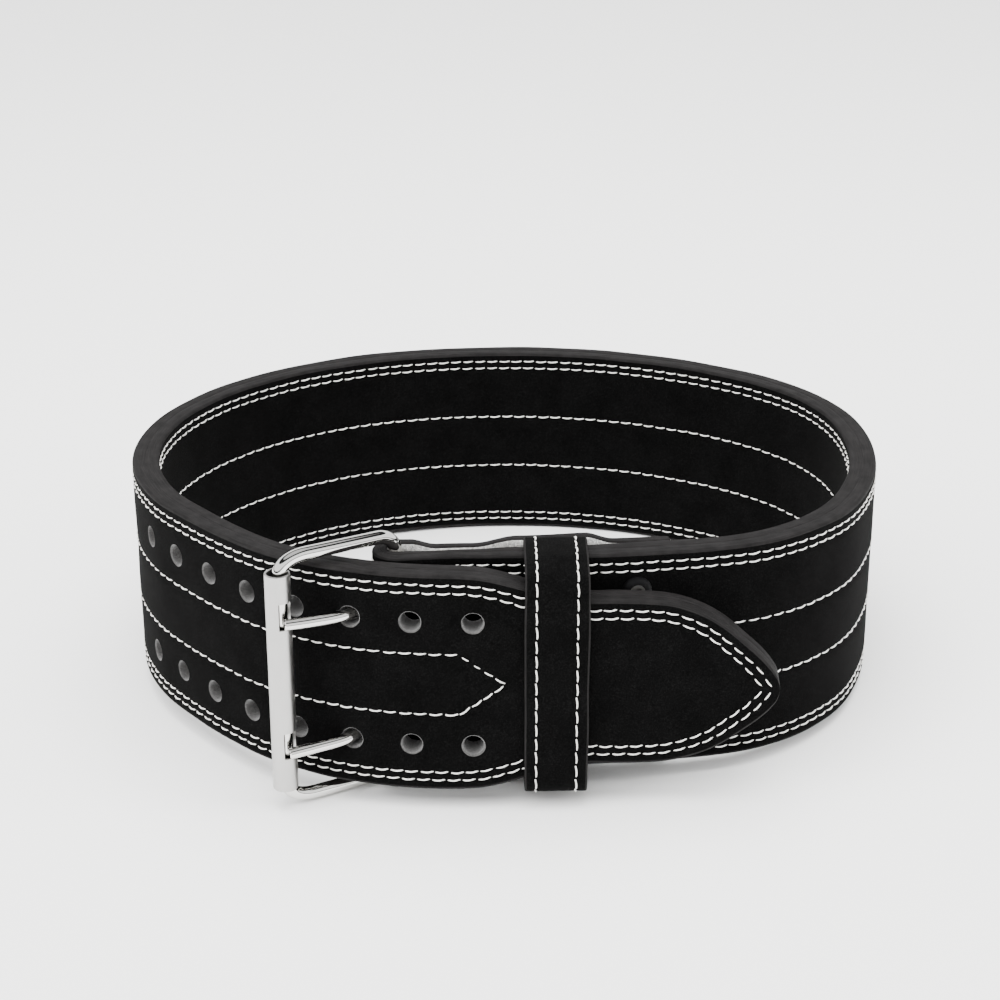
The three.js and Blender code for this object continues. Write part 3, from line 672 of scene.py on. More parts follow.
def strap_tools(shape):
    """Solids that cut the buckle holes, the prong slots and the rivet holes from the strap."""
    sizes = shape.sizes
    tools = []
    bore, lip = sizes.hole / 2, 0.5 * MM
    flare = bore + lip + TOOL_OVERRUN
    profile = [(0, -TOOL_OVERRUN), (flare, -TOOL_OVERRUN), (bore, lip), (bore, shape.thick / 2),
               (bore, shape.thick - lip), (flare, shape.thick + TOOL_OVERRUN),
               (0, shape.thick + TOOL_OVERRUN)]
    for length in shape.holes:
        place = shape.at(length)
        for height in shape.rows:
            frame_at = standing(place.point, place.along, height)
            tools.append(lathe(profile, 32, frame_at, 0.12 * MM))
    eye_reach = sizes.wire / 2 + PRONG_PLAY + sizes.prong + SLOT_MARGIN
    slot_half = sizes.prong / 2 + SLOT_MARGIN
    depth = shape.fold_inner + shape.thick
    for height in shape.rows:
        outline = [(-depth - sizes.wire, -slot_half)]
        for k in range(17):
            angle = math.radians(-90 + 180 * k / 16)
            outline.append((eye_reach - slot_half + slot_half * math.cos(angle),
                            slot_half * math.sin(angle)))
        outline.append((-depth - sizes.wire, slot_half))
        place = standing(shape.bar, shape.fold.along, height)
        points = [place @ Vector((x, y, z)) for y in (-depth, depth) for x, z in outline]
        tools.append((points, ring_faces(2, len(outline))))
    for rivet in rivets(shape):
        radius = RIVET_SHANK / 2 + CLEARANCE
        profile = [(0, -TOOL_OVERRUN), (radius, -TOOL_OVERRUN),
                   (radius, rivet["grip"] + TOOL_OVERRUN), (0, rivet["grip"] + TOOL_OVERRUN)]
        tools.append(lathe(profile, 20, rivet["place"]))
    return tools


def rivets(shape):
    """The six rivets: the name of each, where it stands and how much leather it holds."""
    found = []
    for column, share in enumerate(RIVET_COLUMNS, 1):
        length = share * FLAP_LENGTH
        place = shape.at(length)
        grip = shape.layer(length, MAIN) + shape.room(length) + shape.layer(length, FLAP)
        for row, name in enumerate(("low", "mid", "high"), -1):
            height = shape.half_width + row * RIVET_ROW_SPACING
            found.append({"name": f"rivet_{column}_{name}", "grip": grip,
                          "place": standing(place.point, place.along, height)})
    return found


def keeper_ring(shape):
    """Plan place of the keeper's middle, and how far in and out its passage reaches from it."""
    sizes = shape.sizes
    middle = KEEPER_FROM_FOLD * FLAP_LENGTH + sizes.keeper_width / 2
    seat = shape.at(middle)
    back = 0.0
    for side in (-1, 0, 1):
        length = middle + side * sizes.keeper_width / 2
        place = shape.at(length)
        inside = place.point - place.out * shape.layer(length, MAIN)
        back = min(back, (inside - seat.point).dot(seat.out))
    front = max((shape.at(length).point - seat.point).dot(seat.out)
                for turn, point, length in shape.route
                if turn > PRONG_TURN
                and abs((shape.at(length).point - seat.point).dot(seat.along))
                < sizes.keeper_width / 2)
    return seat, back - CLEARANCE, front + CLEARANCE


def keeper_path(shape):
    """The keeper's inner line as (out, up, outward normal), round a passage with soft corners."""
    seat, back, front = keeper_ring(shape)
    width = shape.sizes.width
    corners = [Vector((back + (front - back) * out, -CLEARANCE + (width + 2 * CLEARANCE) * up))
               for out, up in KEEPER_PASSAGE]
    line = []
    for k, corner in enumerate(corners):
        before, after = corners[k - 1], corners[(k + 1) % len(corners)]
        cut = min(KEEPER_ROUND, (corner - before).length / 2, (after - corner).length / 2)
        start = corner + (before - corner).normalized() * cut
        end = corner + (after - corner).normalized() * cut
        for step in range(7):
            u = step / 6
            line.append(start * (1 - u) ** 2 + corner * 2 * u * (1 - u) + end * u ** 2)
        gap = after - corner
        reach = gap.length - cut - min(KEEPER_ROUND, gap.length / 2)
        for share in steps(0, 1, 4 * MM / max(reach, 4 * MM))[1:]:
            line.append(end + gap.normalized() * reach * share)
    path = []
    for k, spot in enumerate(line):
        along = (line[(k + 1) % len(line)] - line[k - 1]).normalized()
        path.append((spot, Vector((along.y, -along.x))))
    return seat, path


def keeper_point(seat, spot, across):
    """Point of the keeper at (out, up) in its ring and a distance across its width."""
    plan = seat.point + seat.out * spot.x + seat.along * across
    return Vector((plan.x, plan.y, spot.y))


def keeper_mesh(shape, materials):
    """The keeper as a band of leather round the belt, grooved under its two seams."""
    seat, path = keeper_path(shape)
    half = shape.sizes.keeper_width / 2
    columns = [(half - KEEPER_SEAM + offset * GROOVE_HALF, math.cos(offset * math.pi / 2) ** 2)
               for offset in (-1, -0.5, 0, 0.5, 1)]
    columns += [(half * share, 0) for share in (0.2, 0.4, 0.9)]
    columns = sorted([(-across, groove) for across, groove in columns] + columns + [(0.0, 0)])
    section = [(across, KEEPER_THICK - groove * GROOVE_DEPTH) for across, groove in columns]
    arc = [math.radians(22.5 * k) for k in range(5)]
    edge = half - KEEPER_EDGE
    round_out = [(edge + KEEPER_EDGE * math.sin(angle),
                  KEEPER_THICK - KEEPER_EDGE * (1 - math.cos(angle))) for angle in arc]
    right = round_out + [(across, KEEPER_THICK - rise) for across, rise in reversed(round_out)]
    under = [(across, 0.0) for across in (half / 2, 0, -half / 2)]
    left = [(-across, rise) for across, rise in reversed(right)]
    section = section + right + under + left
    points = []
    for k, (spot, out) in enumerate(path):
        for across, rise in section:
            wave = Vector((spot.x, spot.y, across))
            push = roughened(wave, 16 * MM, FACE_WAVE / 2) if rise > KEEPER_THICK / 2 else 0
            shift = roughened(wave, 24 * MM, RIM_WAVE)
            points.append(keeper_point(seat, spot + out * (rise + push), across + shift))
    band = new_object("keeper_leather", points, ring_faces(len(path), len(section), True),
                      materials)
    first, last = len(columns), len(columns) + len(right)
    second = last + len(under)
    for polygon in band.data.polygons:
        side = polygon.index % len(section)
        rim = first <= side < last - 1 or second <= side < len(section) - 1
        polygon.material_index = EDGE if rim else SUEDE
    return band


def frame_path(shape):
    """Middle line of the buckle's frame, a rounded ring of wire."""
    reach = (shape.bar - shape.wire).length
    place = standing(shape.wire, shape.buckle_along, shape.half_width - RAIL_SPACING / 2)
    heel, front = (CORNER_RADIUS, CORNER_RADIUS), (FRONT_BEND, FRONT_BEND_RISE)
    line = []
    for start, far, high, (bend, rise) in ((0, True, True, heel), (90, False, True, front),
                                           (180, False, False, front), (270, True, False, heel)):
        across = reach - bend if far else bend
        up = RAIL_SPACING - rise if high else rise
        for step in range(13):
            angle = math.radians(start + 7.5 * step)
            line.append(place @ Vector((across + bend * math.cos(angle), 0,
                                        up + rise * math.sin(angle))))
    return line


def roller_shells(shape):
    """The roller's tube, and the two notches that the prongs' tips lie in."""
    sizes = shape.sizes
    outer, low = sizes.roller / 2, shape.half_width - ROLLER_LENGTH / 2
    inner, lip = outer - ROLLER_WALL, 0.25 * MM
    profile = [(inner, lip), (inner + lip, 0), (outer - lip, 0), (outer, lip),
               (outer, ROLLER_LENGTH - lip), (outer - lip, ROLLER_LENGTH),
               (inner + lip, ROLLER_LENGTH), (inner, ROLLER_LENGTH - lip)]
    place = standing(shape.roller, shape.buckle_along, low)
    points = []
    for side in range(64):
        angle = 2 * math.pi * side / 64
        points += [place @ Vector((math.cos(angle) * radius, math.sin(angle) * radius, up))
                   for radius, up in profile]
    tube = (points, ring_faces(64, len(profile), True))
    notches = []
    for row, droop in zip(shape.rows, (LOWER_PRONG_DROOP, 0)):
        base = row - droop - sizes.prong / 2 - CLEARANCE
        corners = [(-NOTCH_REACH, 0), (outer * 2, 0), (outer * 2, -outer * 2),
                   (-NOTCH_REACH, -outer * 2)]
        flat = standing(shape.roller, shape.buckle_along, base)
        notches.append(([flat @ Vector((x, y, z)) for z in (0, NOTCH_HEIGHT) for x, y in corners],
                        ring_faces(2, 4)))
    return tube, notches


def prong_shells(shape, height, droop):
    """A prong's eye round the heel bar, and its arm."""
    sizes = shape.sizes
    radius = sizes.prong / 2
    ring = sizes.wire / 2 + PRONG_PLAY + radius
    circle = [Vector((shape.bar.x + ring * math.cos(angle), shape.bar.y + ring * math.sin(angle),
                      height)) for angle in (2 * math.pi * k / 40 for k in range(40))]
    eye = sweep(circle, radius, 20, closed=True)
    arm = sweep(shape.prong_points(height, droop), radius, 24, end_round=0.5 * MM)
    return eye, arm


def rivet_profile(shape, grip):
    """Outline of a rivet: dimpled cap outside the belt, shank, and flat head inside the flap."""
    cap, rise = shape.sizes.rivet_cap / 2, 2.2 * MM
    head, head_rise = 4.75 * MM, 1.4 * MM
    shank = RIVET_SHANK / 2
    outer = [(0, 0.5), (0.1, 0.52), (0.17, 0.6), (0.22, 0.75), (0.27, 0.93), (0.33, 1),
             (0.5, 0.97), (0.68, 0.86), (0.84, 0.66), (0.94, 0.42), (0.99, 0.2), (1, 0.08),
             (0.985, 0)]
    inner = [(0.99, 0), (1, 0.25), (0.98, 0.55), (0.92, 0.85), (0.84, 1), (0.5, 1.02), (0, 1.03)]
    profile = [(cap * radius, -CLEARANCE - rise * height) for radius, height in outer]
    profile += [(shank, -CLEARANCE), (shank, grip + CLEARANCE)]
    return profile + [(head * radius, grip + CLEARANCE + head_rise * height)
                      for radius, height in inner]


def clipped(run, start, end):
    """A run of (length, height) spots without a stretch at its start and one at its end."""
    places = [0.0]
    for before, after in zip(run, run[1:]):
        places.append(places[-1] + math.dist(before, after))

    def spot_at(place):
        above = min(max(1, bisect.bisect_left(places, place)), len(run) - 1)
        share = (place - places[above - 1]) / (places[above] - places[above - 1])
        return tuple(low + (high - low) * share for low, high in zip(run[above - 1], run[above]))

    low, high = start, places[-1] - end
    inner = [spot for spot, place in zip(run, places) if low < place < high]
    return [spot_at(low)] + inner + [spot_at(high)]


class Seams:
    """Where the thread runs, as rows of points with the way that each face looks."""

    def __init__(self, shape):
        self.shape = shape
        self.skin = []
        before = None
        for share in reversed(steps(0, 1, 1 / 28)):
            before = self.add_skin(shape.fold_station(share), before)
        for away in steps(0, FLAP_LENGTH, 2.4 * MM) + [FLAP_LENGTH]:
            before = self.add_skin(shape.flap_station(away), before)
        self.flap_end = self.skin[-1][0]

    def add_skin(self, station, before):
        """Adds a section of the fold or the flap, with its distance from the fold."""
        start = before or Station(self.shape.at(0).point, None, 0, 0, 0.0)
        length = self.skin[-1][0] if self.skin else 0.0
        length += (station.face - start.face).length
        self.skin.append((length, station.face, (station.face - station.back).normalized()))
        return station

    def outside(self, length, height):
        """Point and outward direction on the outer face, or on the flap for a length under 0."""
        if length >= 0:
            place = self.shape.at(length)
            point, out = place.point, place.out
        else:
            lengths = [row[0] for row in self.skin]
            k = min(bisect.bisect_left(lengths, -length), len(self.skin) - 1)
            low, high = self.skin[max(k - 1, 0)], self.skin[k]
            share = (-length - low[0]) / (high[0] - low[0]) if k else 0
            point, out = low[1].lerp(high[1], share), low[2].lerp(high[2], share).normalized()
        return Vector((point.x, point.y, height)), Vector((out.x, out.y, 0))

    def inside(self, length, height):
        """Point and outward direction on the inner face."""
        place = self.shape.at(length)
        point = place.point - place.out * self.shape.layer(length, MAIN)
        return Vector((point.x, point.y, height)), Vector((-place.out.x, -place.out.y, 0))

    def edge_runs(self, inset, start):
        """A seam's lower and upper halves along the edges, from start to the corner in the nose."""
        shape = self.shape
        shoulder = shape.holes[-1] + TONGUE[0][0] * TONGUE_LENGTH
        branch = [(length, shape.half_width - inset) for length in steps(start, shoulder, 4 * MM)]
        for length in steps(shoulder, shape.tip, 1 * MM):
            half = shape.half_height(length)
            slope = (shape.half_height(length + MM / 2) - shape.half_height(length - MM / 2)) / MM
            size = math.hypot(1, slope)
            spot = (length + inset * slope / size, half - inset / size)
            if spot[1] > 0 and spot[0] > branch[-1][0]:
                branch.append(spot)
        branch.append((branch[-1][0] + 0.3 * MM, 0.0))
        gap = shape.sizes.stitch_pitch / 2
        return [clipped([(length, shape.middle_height(length) + side * half)
                         for length, half in branch], 0, gap) for side in (-1, 1)]

    def middle_runs(self, start):
        """The two middle seams, and the two short ones that close them in a point."""
        shape = self.shape
        corner = shape.holes[-1] - SEAM_CLOSES_BEFORE
        apex = (shape.holes[-1] + SEAM_CLOSES_AFTER, shape.half_width)
        gap = shape.sizes.stitch_pitch / 2
        runs = []
        for side in (-1, 1):
            height = shape.half_width + side * MIDDLE_SEAM
            places = steps(start, corner, 4 * MM) + [corner]
            runs.append(clipped([(length, height) for length in places], 0, gap))
            runs.append(clipped([(corner, height), apex], gap, gap))
        return runs

    def strap_rows(self):
        """Every seam of the strap, outside and inside, run so that its stitches sag downwards."""
        flap_start = -self.flap_end + 2.5 * MM
        inner_start = FLAP_LENGTH + 2 * MM
        rows = []
        for inset in EDGE_SEAMS:
            rows += [[self.outside(*spot) for spot in run]
                     for run in self.edge_runs(inset, flap_start)]
            rows += [[self.inside(*spot) for spot in reversed(run)]
                     for run in self.edge_runs(inset, inner_start)]
        rows += [[self.outside(*spot) for spot in run] for run in self.middle_runs(flap_start)]
        rows += [[self.inside(*spot) for spot in reversed(run)]
                 for run in self.middle_runs(inner_start)]
        across = steps(EDGE_SEAMS[1], self.shape.sizes.width - EDGE_SEAMS[1], 4 * MM)
        rows.append([self.outside(-self.flap_end + FLAP_END_SEAM, height) for height in across])
        return rows

    def keeper_rows(self):
        """The keeper's two seams, all the way round."""
        seat, path = keeper_path(self.shape)
        rows = []
        for side in (-1, 1):
            across = side * (self.shape.sizes.keeper_width / 2 - KEEPER_SEAM)
            row = []
            for spot, out in path + path[:1]:
                plan = seat.out * out.x
                row.append((keeper_point(seat, spot + out * KEEPER_THICK, across),
                            Vector((plan.x, plan.y, out.y))))
            rows.append(row)
        return rows


def add_node(tree, kind, inputs=(), **settings):
    """Adds a node with its settings, and its inputs as values or as sockets to link from."""
    made = tree.nodes.new(kind)
    for name, value in settings.items():
        setattr(made, name, value)
    for name, value in dict(inputs).items():
        if isinstance(value, bpy.types.NodeSocket):
            tree.links.new(value, made.inputs[name])
        else:
            made.inputs[name].default_value = value
    return made


def stitch_tree(material):
    """Geometry nodes that lay a stitch of thread at every step along a mesh of seam lines."""
    tree = bpy.data.node_groups.new("stitch_run", "GeometryNodeTree")
    face = tree.interface
    face.new_socket("Seams", in_out="INPUT", socket_type="NodeSocketGeometry")
    for name in ("Pitch", "Stitch Length", "Thread Width", "Slant", "Sag"):
        face.new_socket(name, in_out="INPUT", socket_type="NodeSocketFloat")
    face.new_socket("Seed", in_out="INPUT", socket_type="NodeSocketInt")
    face.new_socket("Stitches", in_out="OUTPUT", socket_type="NodeSocketGeometry")
    given = add_node(tree, "NodeGroupInput").outputs
    lines = add_node(tree, "GeometryNodeMeshToCurve", {"Mesh": given["Seams"]})
    evened = add_node(tree, "GeometryNodeInputNamedAttribute", {"Name": "evened"},
                      data_type="FLOAT")
    pitch = add_node(tree, "ShaderNodeMath", {0: given["Pitch"], 1: evened.outputs["Attribute"]},
                     operation="MULTIPLY")
    spaced = add_node(tree, "GeometryNodeResampleCurve",
                      {"Curve": lines.outputs["Curve"], "Length": pitch.outputs[0]}, mode="LENGTH")
    half = add_node(tree, "ShaderNodeMath", {0: given["Stitch Length"], 1: 0.5},
                    operation="MULTIPLY")
    rise = add_node(tree, "ShaderNodeMath", {0: given["Thread Width"], 1: 1.1},
                    operation="MULTIPLY")
    sink = add_node(tree, "ShaderNodeMath", {0: given["Thread Width"], 1: -0.7},
                    operation="MULTIPLY")
    back = add_node(tree, "ShaderNodeMath", {0: half.outputs[0], 1: -1.0}, operation="MULTIPLY")
    start = add_node(tree, "ShaderNodeCombineXYZ", {"X": back.outputs[0], "Z": sink.outputs[0]})
    droop = add_node(tree, "ShaderNodeMath", {0: given["Sag"], 1: -1.6}, operation="MULTIPLY")
    top = add_node(tree, "ShaderNodeCombineXYZ", {"Y": droop.outputs[0], "Z": rise.outputs[0]})
    end = add_node(tree, "ShaderNodeCombineXYZ",
                   {"X": half.outputs[0], "Y": given["Sag"], "Z": sink.outputs[0]})
    bow = add_node(tree, "GeometryNodeCurveQuadraticBezier",
                   {"Resolution": 5, "Start": start.outputs[0], "Middle": top.outputs[0],
                    "End": end.outputs[0]})
    thread = add_node(tree, "ShaderNodeMath", {0: given["Thread Width"], 1: 0.5},
                      operation="MULTIPLY")
    round_thread = add_node(tree, "GeometryNodeCurvePrimitiveCircle",
                            {"Resolution": 6, "Radius": thread.outputs[0]})
    stitch = add_node(tree, "GeometryNodeCurveToMesh",
                      {"Curve": bow.outputs["Curve"], "Fill Caps": True,
                       "Profile Curve": round_thread.outputs["Curve"]})
    way = add_node(tree, "GeometryNodeInputTangent")
    outward = add_node(tree, "GeometryNodeInputNamedAttribute", {"Name": "outward"},
                       data_type="FLOAT_VECTOR")
    turn = add_node(tree, "FunctionNodeAxesToRotation",
                    {"Primary Axis": outward.outputs["Attribute"],
                     "Secondary Axis": way.outputs["Tangent"]},
                    primary_axis="Z", secondary_axis="X")
    jitter = add_node(tree, "FunctionNodeRandomValue", {"Seed": given["Seed"]}, data_type="FLOAT")
    jitter.inputs[2].default_value = 0.5
    jitter.inputs[3].default_value = 1.5
    slant = add_node(tree, "ShaderNodeMath", {0: given["Slant"], 1: jitter.outputs[1]},
                     operation="MULTIPLY")
    lean_by = add_node(tree, "ShaderNodeCombineXYZ", {"Z": slant.outputs[0]})
    lean_turn = add_node(tree, "FunctionNodeEulerToRotation", {"Euler": lean_by.outputs[0]})
    placed = add_node(tree, "FunctionNodeRotateRotation",
                      {"Rotation": turn.outputs[0], "Rotate By": lean_turn.outputs[0]},
                      rotation_space="LOCAL")
    many = add_node(tree, "GeometryNodeInstanceOnPoints",
                    {"Points": spaced.outputs["Curve"], "Instance": stitch.outputs["Mesh"],
                     "Rotation": placed.outputs[0]})
    stray = add_node(tree, "FunctionNodeRandomValue", {"Seed": given["Seed"]},
                     data_type="FLOAT_VECTOR")
    stray.inputs[0].default_value = (-STRAY_ALONG, -STRAY_ACROSS, 0)
    stray.inputs[1].default_value = (STRAY_ALONG, STRAY_ACROSS, 0)
    strayed = add_node(tree, "GeometryNodeTranslateInstances",
                       {"Instances": many.outputs["Instances"], "Translation": stray.outputs[0]})
    real = add_node(tree, "GeometryNodeRealizeInstances",
                    {"Geometry": strayed.outputs["Instances"]})
    worn = add_node(tree, "GeometryNodeSetMaterial",
                    {"Geometry": real.outputs["Geometry"], "Material": material})
    add_node(tree, "NodeGroupOutput", {"Stitches": worn.outputs["Geometry"]})
    return tree


def sew(name, rows, sizes, tree, seed):
    """Lays stitches along rows of points, and returns them as one plain mesh object."""
    points = [point for row in rows for point, _ in row]
    lines = []
    start = 0
    for row in rows:
        lines += [(start + k, start + k + 1) for k in range(len(row) - 1)]
        start += len(row)
    mesh = bpy.data.meshes.new("seam_lines")
    mesh.from_pydata([tuple(point) for point in points], lines, [])
    mesh.attributes.new("outward", "FLOAT_VECTOR", "POINT")
    mesh.attributes.new("evened", "FLOAT", "POINT")
    looks, evened = mesh.attributes["outward"], mesh.attributes["evened"]
    k = 0
    for row in rows:
        reach = sum((after[0] - before[0]).length for before, after in zip(row, row[1:]))
        share = reach / max(1, round(reach / sizes.stitch_pitch)) / sizes.stitch_pitch
        for _, out in row:
            looks.data[k].vector = out
            evened.data[k].value = share * STRETCH_SLACK
            k += 1
    seams = bpy.data.objects.new("seam_lines", mesh)
    bpy.context.scene.collection.objects.link(seams)
    modifier = seams.modifiers.new("stitch_run", "NODES")
    modifier.node_group = tree
    values = {"Pitch": sizes.stitch_pitch, "Stitch Length": sizes.stitch_length,
              "Thread Width": sizes.thread_width, "Slant": sizes.stitch_slant,
              "Sag": sizes.stitch_sag, "Seed": seed}
    for item in tree.interface.items_tree:
        if item.name in values:
            modifier[item.identifier] = values[item.name]
    graph = bpy.context.evaluated_depsgraph_get()
    sewn = bpy.data.meshes.new_from_object(seams.evaluated_get(graph))
    bpy.data.objects.remove(seams)
    if not sewn.polygons:
        raise RuntimeError(f"no stitches were laid for {name}")
    made = bpy.data.objects.new(name, sewn)
    bpy.context.scene.collection.objects.link(made)
    return made


def new_material(name, **values):
    """Empty node material with a Principled shader, and what its even inputs are set to."""
    material = bpy.data.materials.new(name)
    material.use_nodes = True
    tree = material.node_tree
    tree.nodes.clear()
    shader = add_node(tree, "ShaderNodeBsdfPrincipled")
    for socket, value in values.items():
        shader.inputs[socket.replace("_", " ")].default_value = value
    add_node(tree, "ShaderNodeOutputMaterial", {"Surface": shader.outputs["BSDF"]})
    return material, tree, shader


def ramp(tree, factor, stops):
    """Colour output of a ramp between linear colours at places from 0 to 1."""
    made = add_node(tree, "ShaderNodeValToRGB", {"Fac": factor})
    elements = made.color_ramp.elements
    while len(elements) < len(stops):
        elements.new(1)
    for element, (place, colour) in zip(elements, stops):
        element.position = place
        element.color = colour
    return made.outputs["Color"]


def shade(colour, factor):
    """A linear colour made lighter or darker."""
    return tuple(min(1, share * factor) for share in colour[:3]) + (1,)


def per_size(size):
    """Noise scale whose features are about that size in metres."""
    return 1 / size


def black_suede(colour):
    """Split cowhide, dyed black and sanded to a nap: no gloss, hardly any bloom at grazing
    angles, a fine speckle of fibres and faint darker patches where the nap lies another way."""
    material, tree, shader = new_material(
        "suede_split_cowhide_dyed_black", Roughness=0.95, Sheen_Weight=0.03,
        Sheen_Roughness=0.45, Sheen_Tint=linear("#9a9a98"), Specular_IOR_Level=0.02)
    where = add_node(tree, "ShaderNodeTexCoord").outputs["Object"]
    fibre = add_node(tree, "ShaderNodeTexNoise",
                     {"Vector": where, "Scale": per_size(0.55 * MM), "Detail": 3.0,
                      "Roughness": 0.7})
    patch = add_node(tree, "ShaderNodeTexNoise",
                     {"Vector": where, "Scale": per_size(16 * MM), "Detail": 4.0,
                      "Roughness": 0.6})
    brushed = add_node(tree, "ShaderNodeTexNoise",
                       {"Vector": where, "Scale": per_size(4 * MM), "Detail": 2.0,
                        "Distortion": 1.5})
    grain = ramp(tree, fibre.outputs["Fac"],
                 [(0.3, shade(colour, 0.35)), (0.52, colour), (0.72, shade(colour, 3.2))])
    white = linear("#ffffff")
    patches = ramp(tree, patch.outputs["Fac"],
                   [(0.3, shade(white, 0.72)), (0.7, (1.25, 1.25, 1.25, 1))])
    mixed = add_node(tree, "ShaderNodeMix", data_type="RGBA", blend_type="MULTIPLY")
    mixed.inputs["Factor"].default_value = 1
    tree.links.new(grain, mixed.inputs[6])
    tree.links.new(patches, mixed.inputs[7])
    tree.links.new(mixed.outputs[2], shader.inputs["Base Color"])
    coarse = add_node(tree, "ShaderNodeBump",
                      {"Height": brushed.outputs["Fac"], "Strength": 0.25, "Distance": 0.3 * MM})
    fine = add_node(tree, "ShaderNodeBump",
                    {"Height": fibre.outputs["Fac"], "Strength": 0.7, "Distance": 0.25 * MM,
                     "Normal": coarse.outputs["Normal"]})
    tree.links.new(fine.outputs["Normal"], shader.inputs["Normal"])
    return material


def cut_edge(colour):
    """Cut edge of dyed belt leather, beaten flat and stained: dark grey, drier and lighter than
    the suede, with fine streaks that run along the edge between its layers."""
    material, tree, shader = new_material("leather_cut_edge_stained", Roughness=0.75,
                                          Specular_IOR_Level=0.12)
    along = add_node(tree, "ShaderNodeUVMap", uv_map="leather").outputs["UV"]
    drawn = add_node(tree, "ShaderNodeMapping", {"Vector": along, "Scale": (0.04, 1.0, 1.0)})
    streak = add_node(tree, "ShaderNodeTexNoise",
                      {"Vector": drawn.outputs["Vector"], "Scale": per_size(0.6 * MM),
                       "Detail": 3.0, "Roughness": 0.55})
    where = add_node(tree, "ShaderNodeTexCoord").outputs["Object"]
    scuff = add_node(tree, "ShaderNodeTexNoise",
                     {"Vector": where, "Scale": per_size(7 * MM), "Detail": 5.0,
                      "Roughness": 0.7})
    both = add_node(tree, "ShaderNodeMath",
                    {0: streak.outputs["Fac"], 1: scuff.outputs["Fac"]}, operation="ADD")
    halved = add_node(tree, "ShaderNodeMath", {0: both.outputs[0], 1: 0.5}, operation="MULTIPLY")
    stained = ramp(tree, halved.outputs[0],
                   [(0.36, shade(colour, 0.55)), (0.5, colour), (0.64, shade(colour, 1.5))])
    tree.links.new(stained, shader.inputs["Base Color"])
    relief = add_node(tree, "ShaderNodeBump",
                      {"Height": streak.outputs["Fac"], "Strength": 0.6, "Distance": 0.25 * MM})
    tree.links.new(relief.outputs["Normal"], shader.inputs["Normal"])
    return material


def flesh_side(colour, name, pile):
    """Fibres of the hide laid bare by a knife or a punch: matt grey tufts with dark roots."""
    material, tree, shader = new_material(name, Roughness=0.95, Sheen_Weight=0.3,
                                          Sheen_Roughness=0.6, Specular_IOR_Level=0.2)
    where = add_node(tree, "ShaderNodeTexCoord").outputs["Object"]
    tuft = add_node(tree, "ShaderNodeTexNoise",
                    {"Vector": where, "Scale": per_size(pile), "Detail": 4.0, "Roughness": 0.75,
                     "Distortion": 0.8})
    tone = ramp(tree, tuft.outputs["Fac"],
                [(0.32, shade(colour, 0.25)), (0.52, colour), (0.68, shade(colour, 1.9))])
    tree.links.new(tone, shader.inputs["Base Color"])
    relief = add_node(tree, "ShaderNodeBump",
                      {"Height": tuft.outputs["Fac"], "Strength": 0.8, "Distance": 0.5 * MM})
    tree.links.new(relief.outputs["Normal"], shader.inputs["Normal"])
    return material


def waxed_thread(colour):
    """Bonded polyester thread, waxed: off-white, a little glossy, darker where the plies meet."""
    material, tree, shader = new_material("thread_waxed_polyester", Roughness=0.55,
                                          Specular_IOR_Level=0.4)
    where = add_node(tree, "ShaderNodeTexCoord").outputs["Object"]
    ply = add_node(tree, "ShaderNodeTexNoise",
                   {"Vector": where, "Scale": per_size(0.9 * MM), "Detail": 2.0})
    tone = ramp(tree, ply.outputs["Fac"], [(0.32, shade(colour, 0.62)), (0.6, colour)])
    tree.links.new(tone, shader.inputs["Base Color"])
    relief = add_node(tree, "ShaderNodeBump",
                      {"Height": ply.outputs["Fac"], "Strength": 0.5, "Distance": 0.15 * MM})
    tree.links.new(relief.outputs["Normal"], shader.inputs["Normal"])
    return material


def plated_steel(colour, name, gloss, spread, scratch):
    """Plated or blackened steel: metal whose gloss changes a little over the surface, with fine
    scratches."""
    material, tree, shader = new_material(name, Metallic=1.0, Base_Color=colour)
    where = add_node(tree, "ShaderNodeTexCoord").outputs["Object"]
    haze = add_node(tree, "ShaderNodeTexNoise",
                    {"Vector": where, "Scale": per_size(5 * MM), "Detail": 6.0,
                     "Roughness": 0.7})
    drawn = add_node(tree, "ShaderNodeMapping", {"Vector": where, "Scale": (1.0, 1.0, 0.12)})
    lines = add_node(tree, "ShaderNodeTexNoise",
                     {"Vector": drawn.outputs["Vector"], "Scale": per_size(0.35 * MM),
                      "Detail": 2.0})
    shine = add_node(tree, "ShaderNodeMapRange",
                     {"Value": haze.outputs["Fac"], "From Min": 0.3, "From Max": 0.7,
                      "To Min": gloss, "To Max": gloss + spread})
    tree.links.new(shine.outputs["Result"], shader.inputs["Roughness"])
    relief = add_node(tree, "ShaderNodeBump",
                      {"Height": lines.outputs["Fac"], "Strength": scratch,
                       "Distance": 0.05 * MM})
    tree.links.new(relief.outputs["Normal"], shader.inputs["Normal"])
    return material


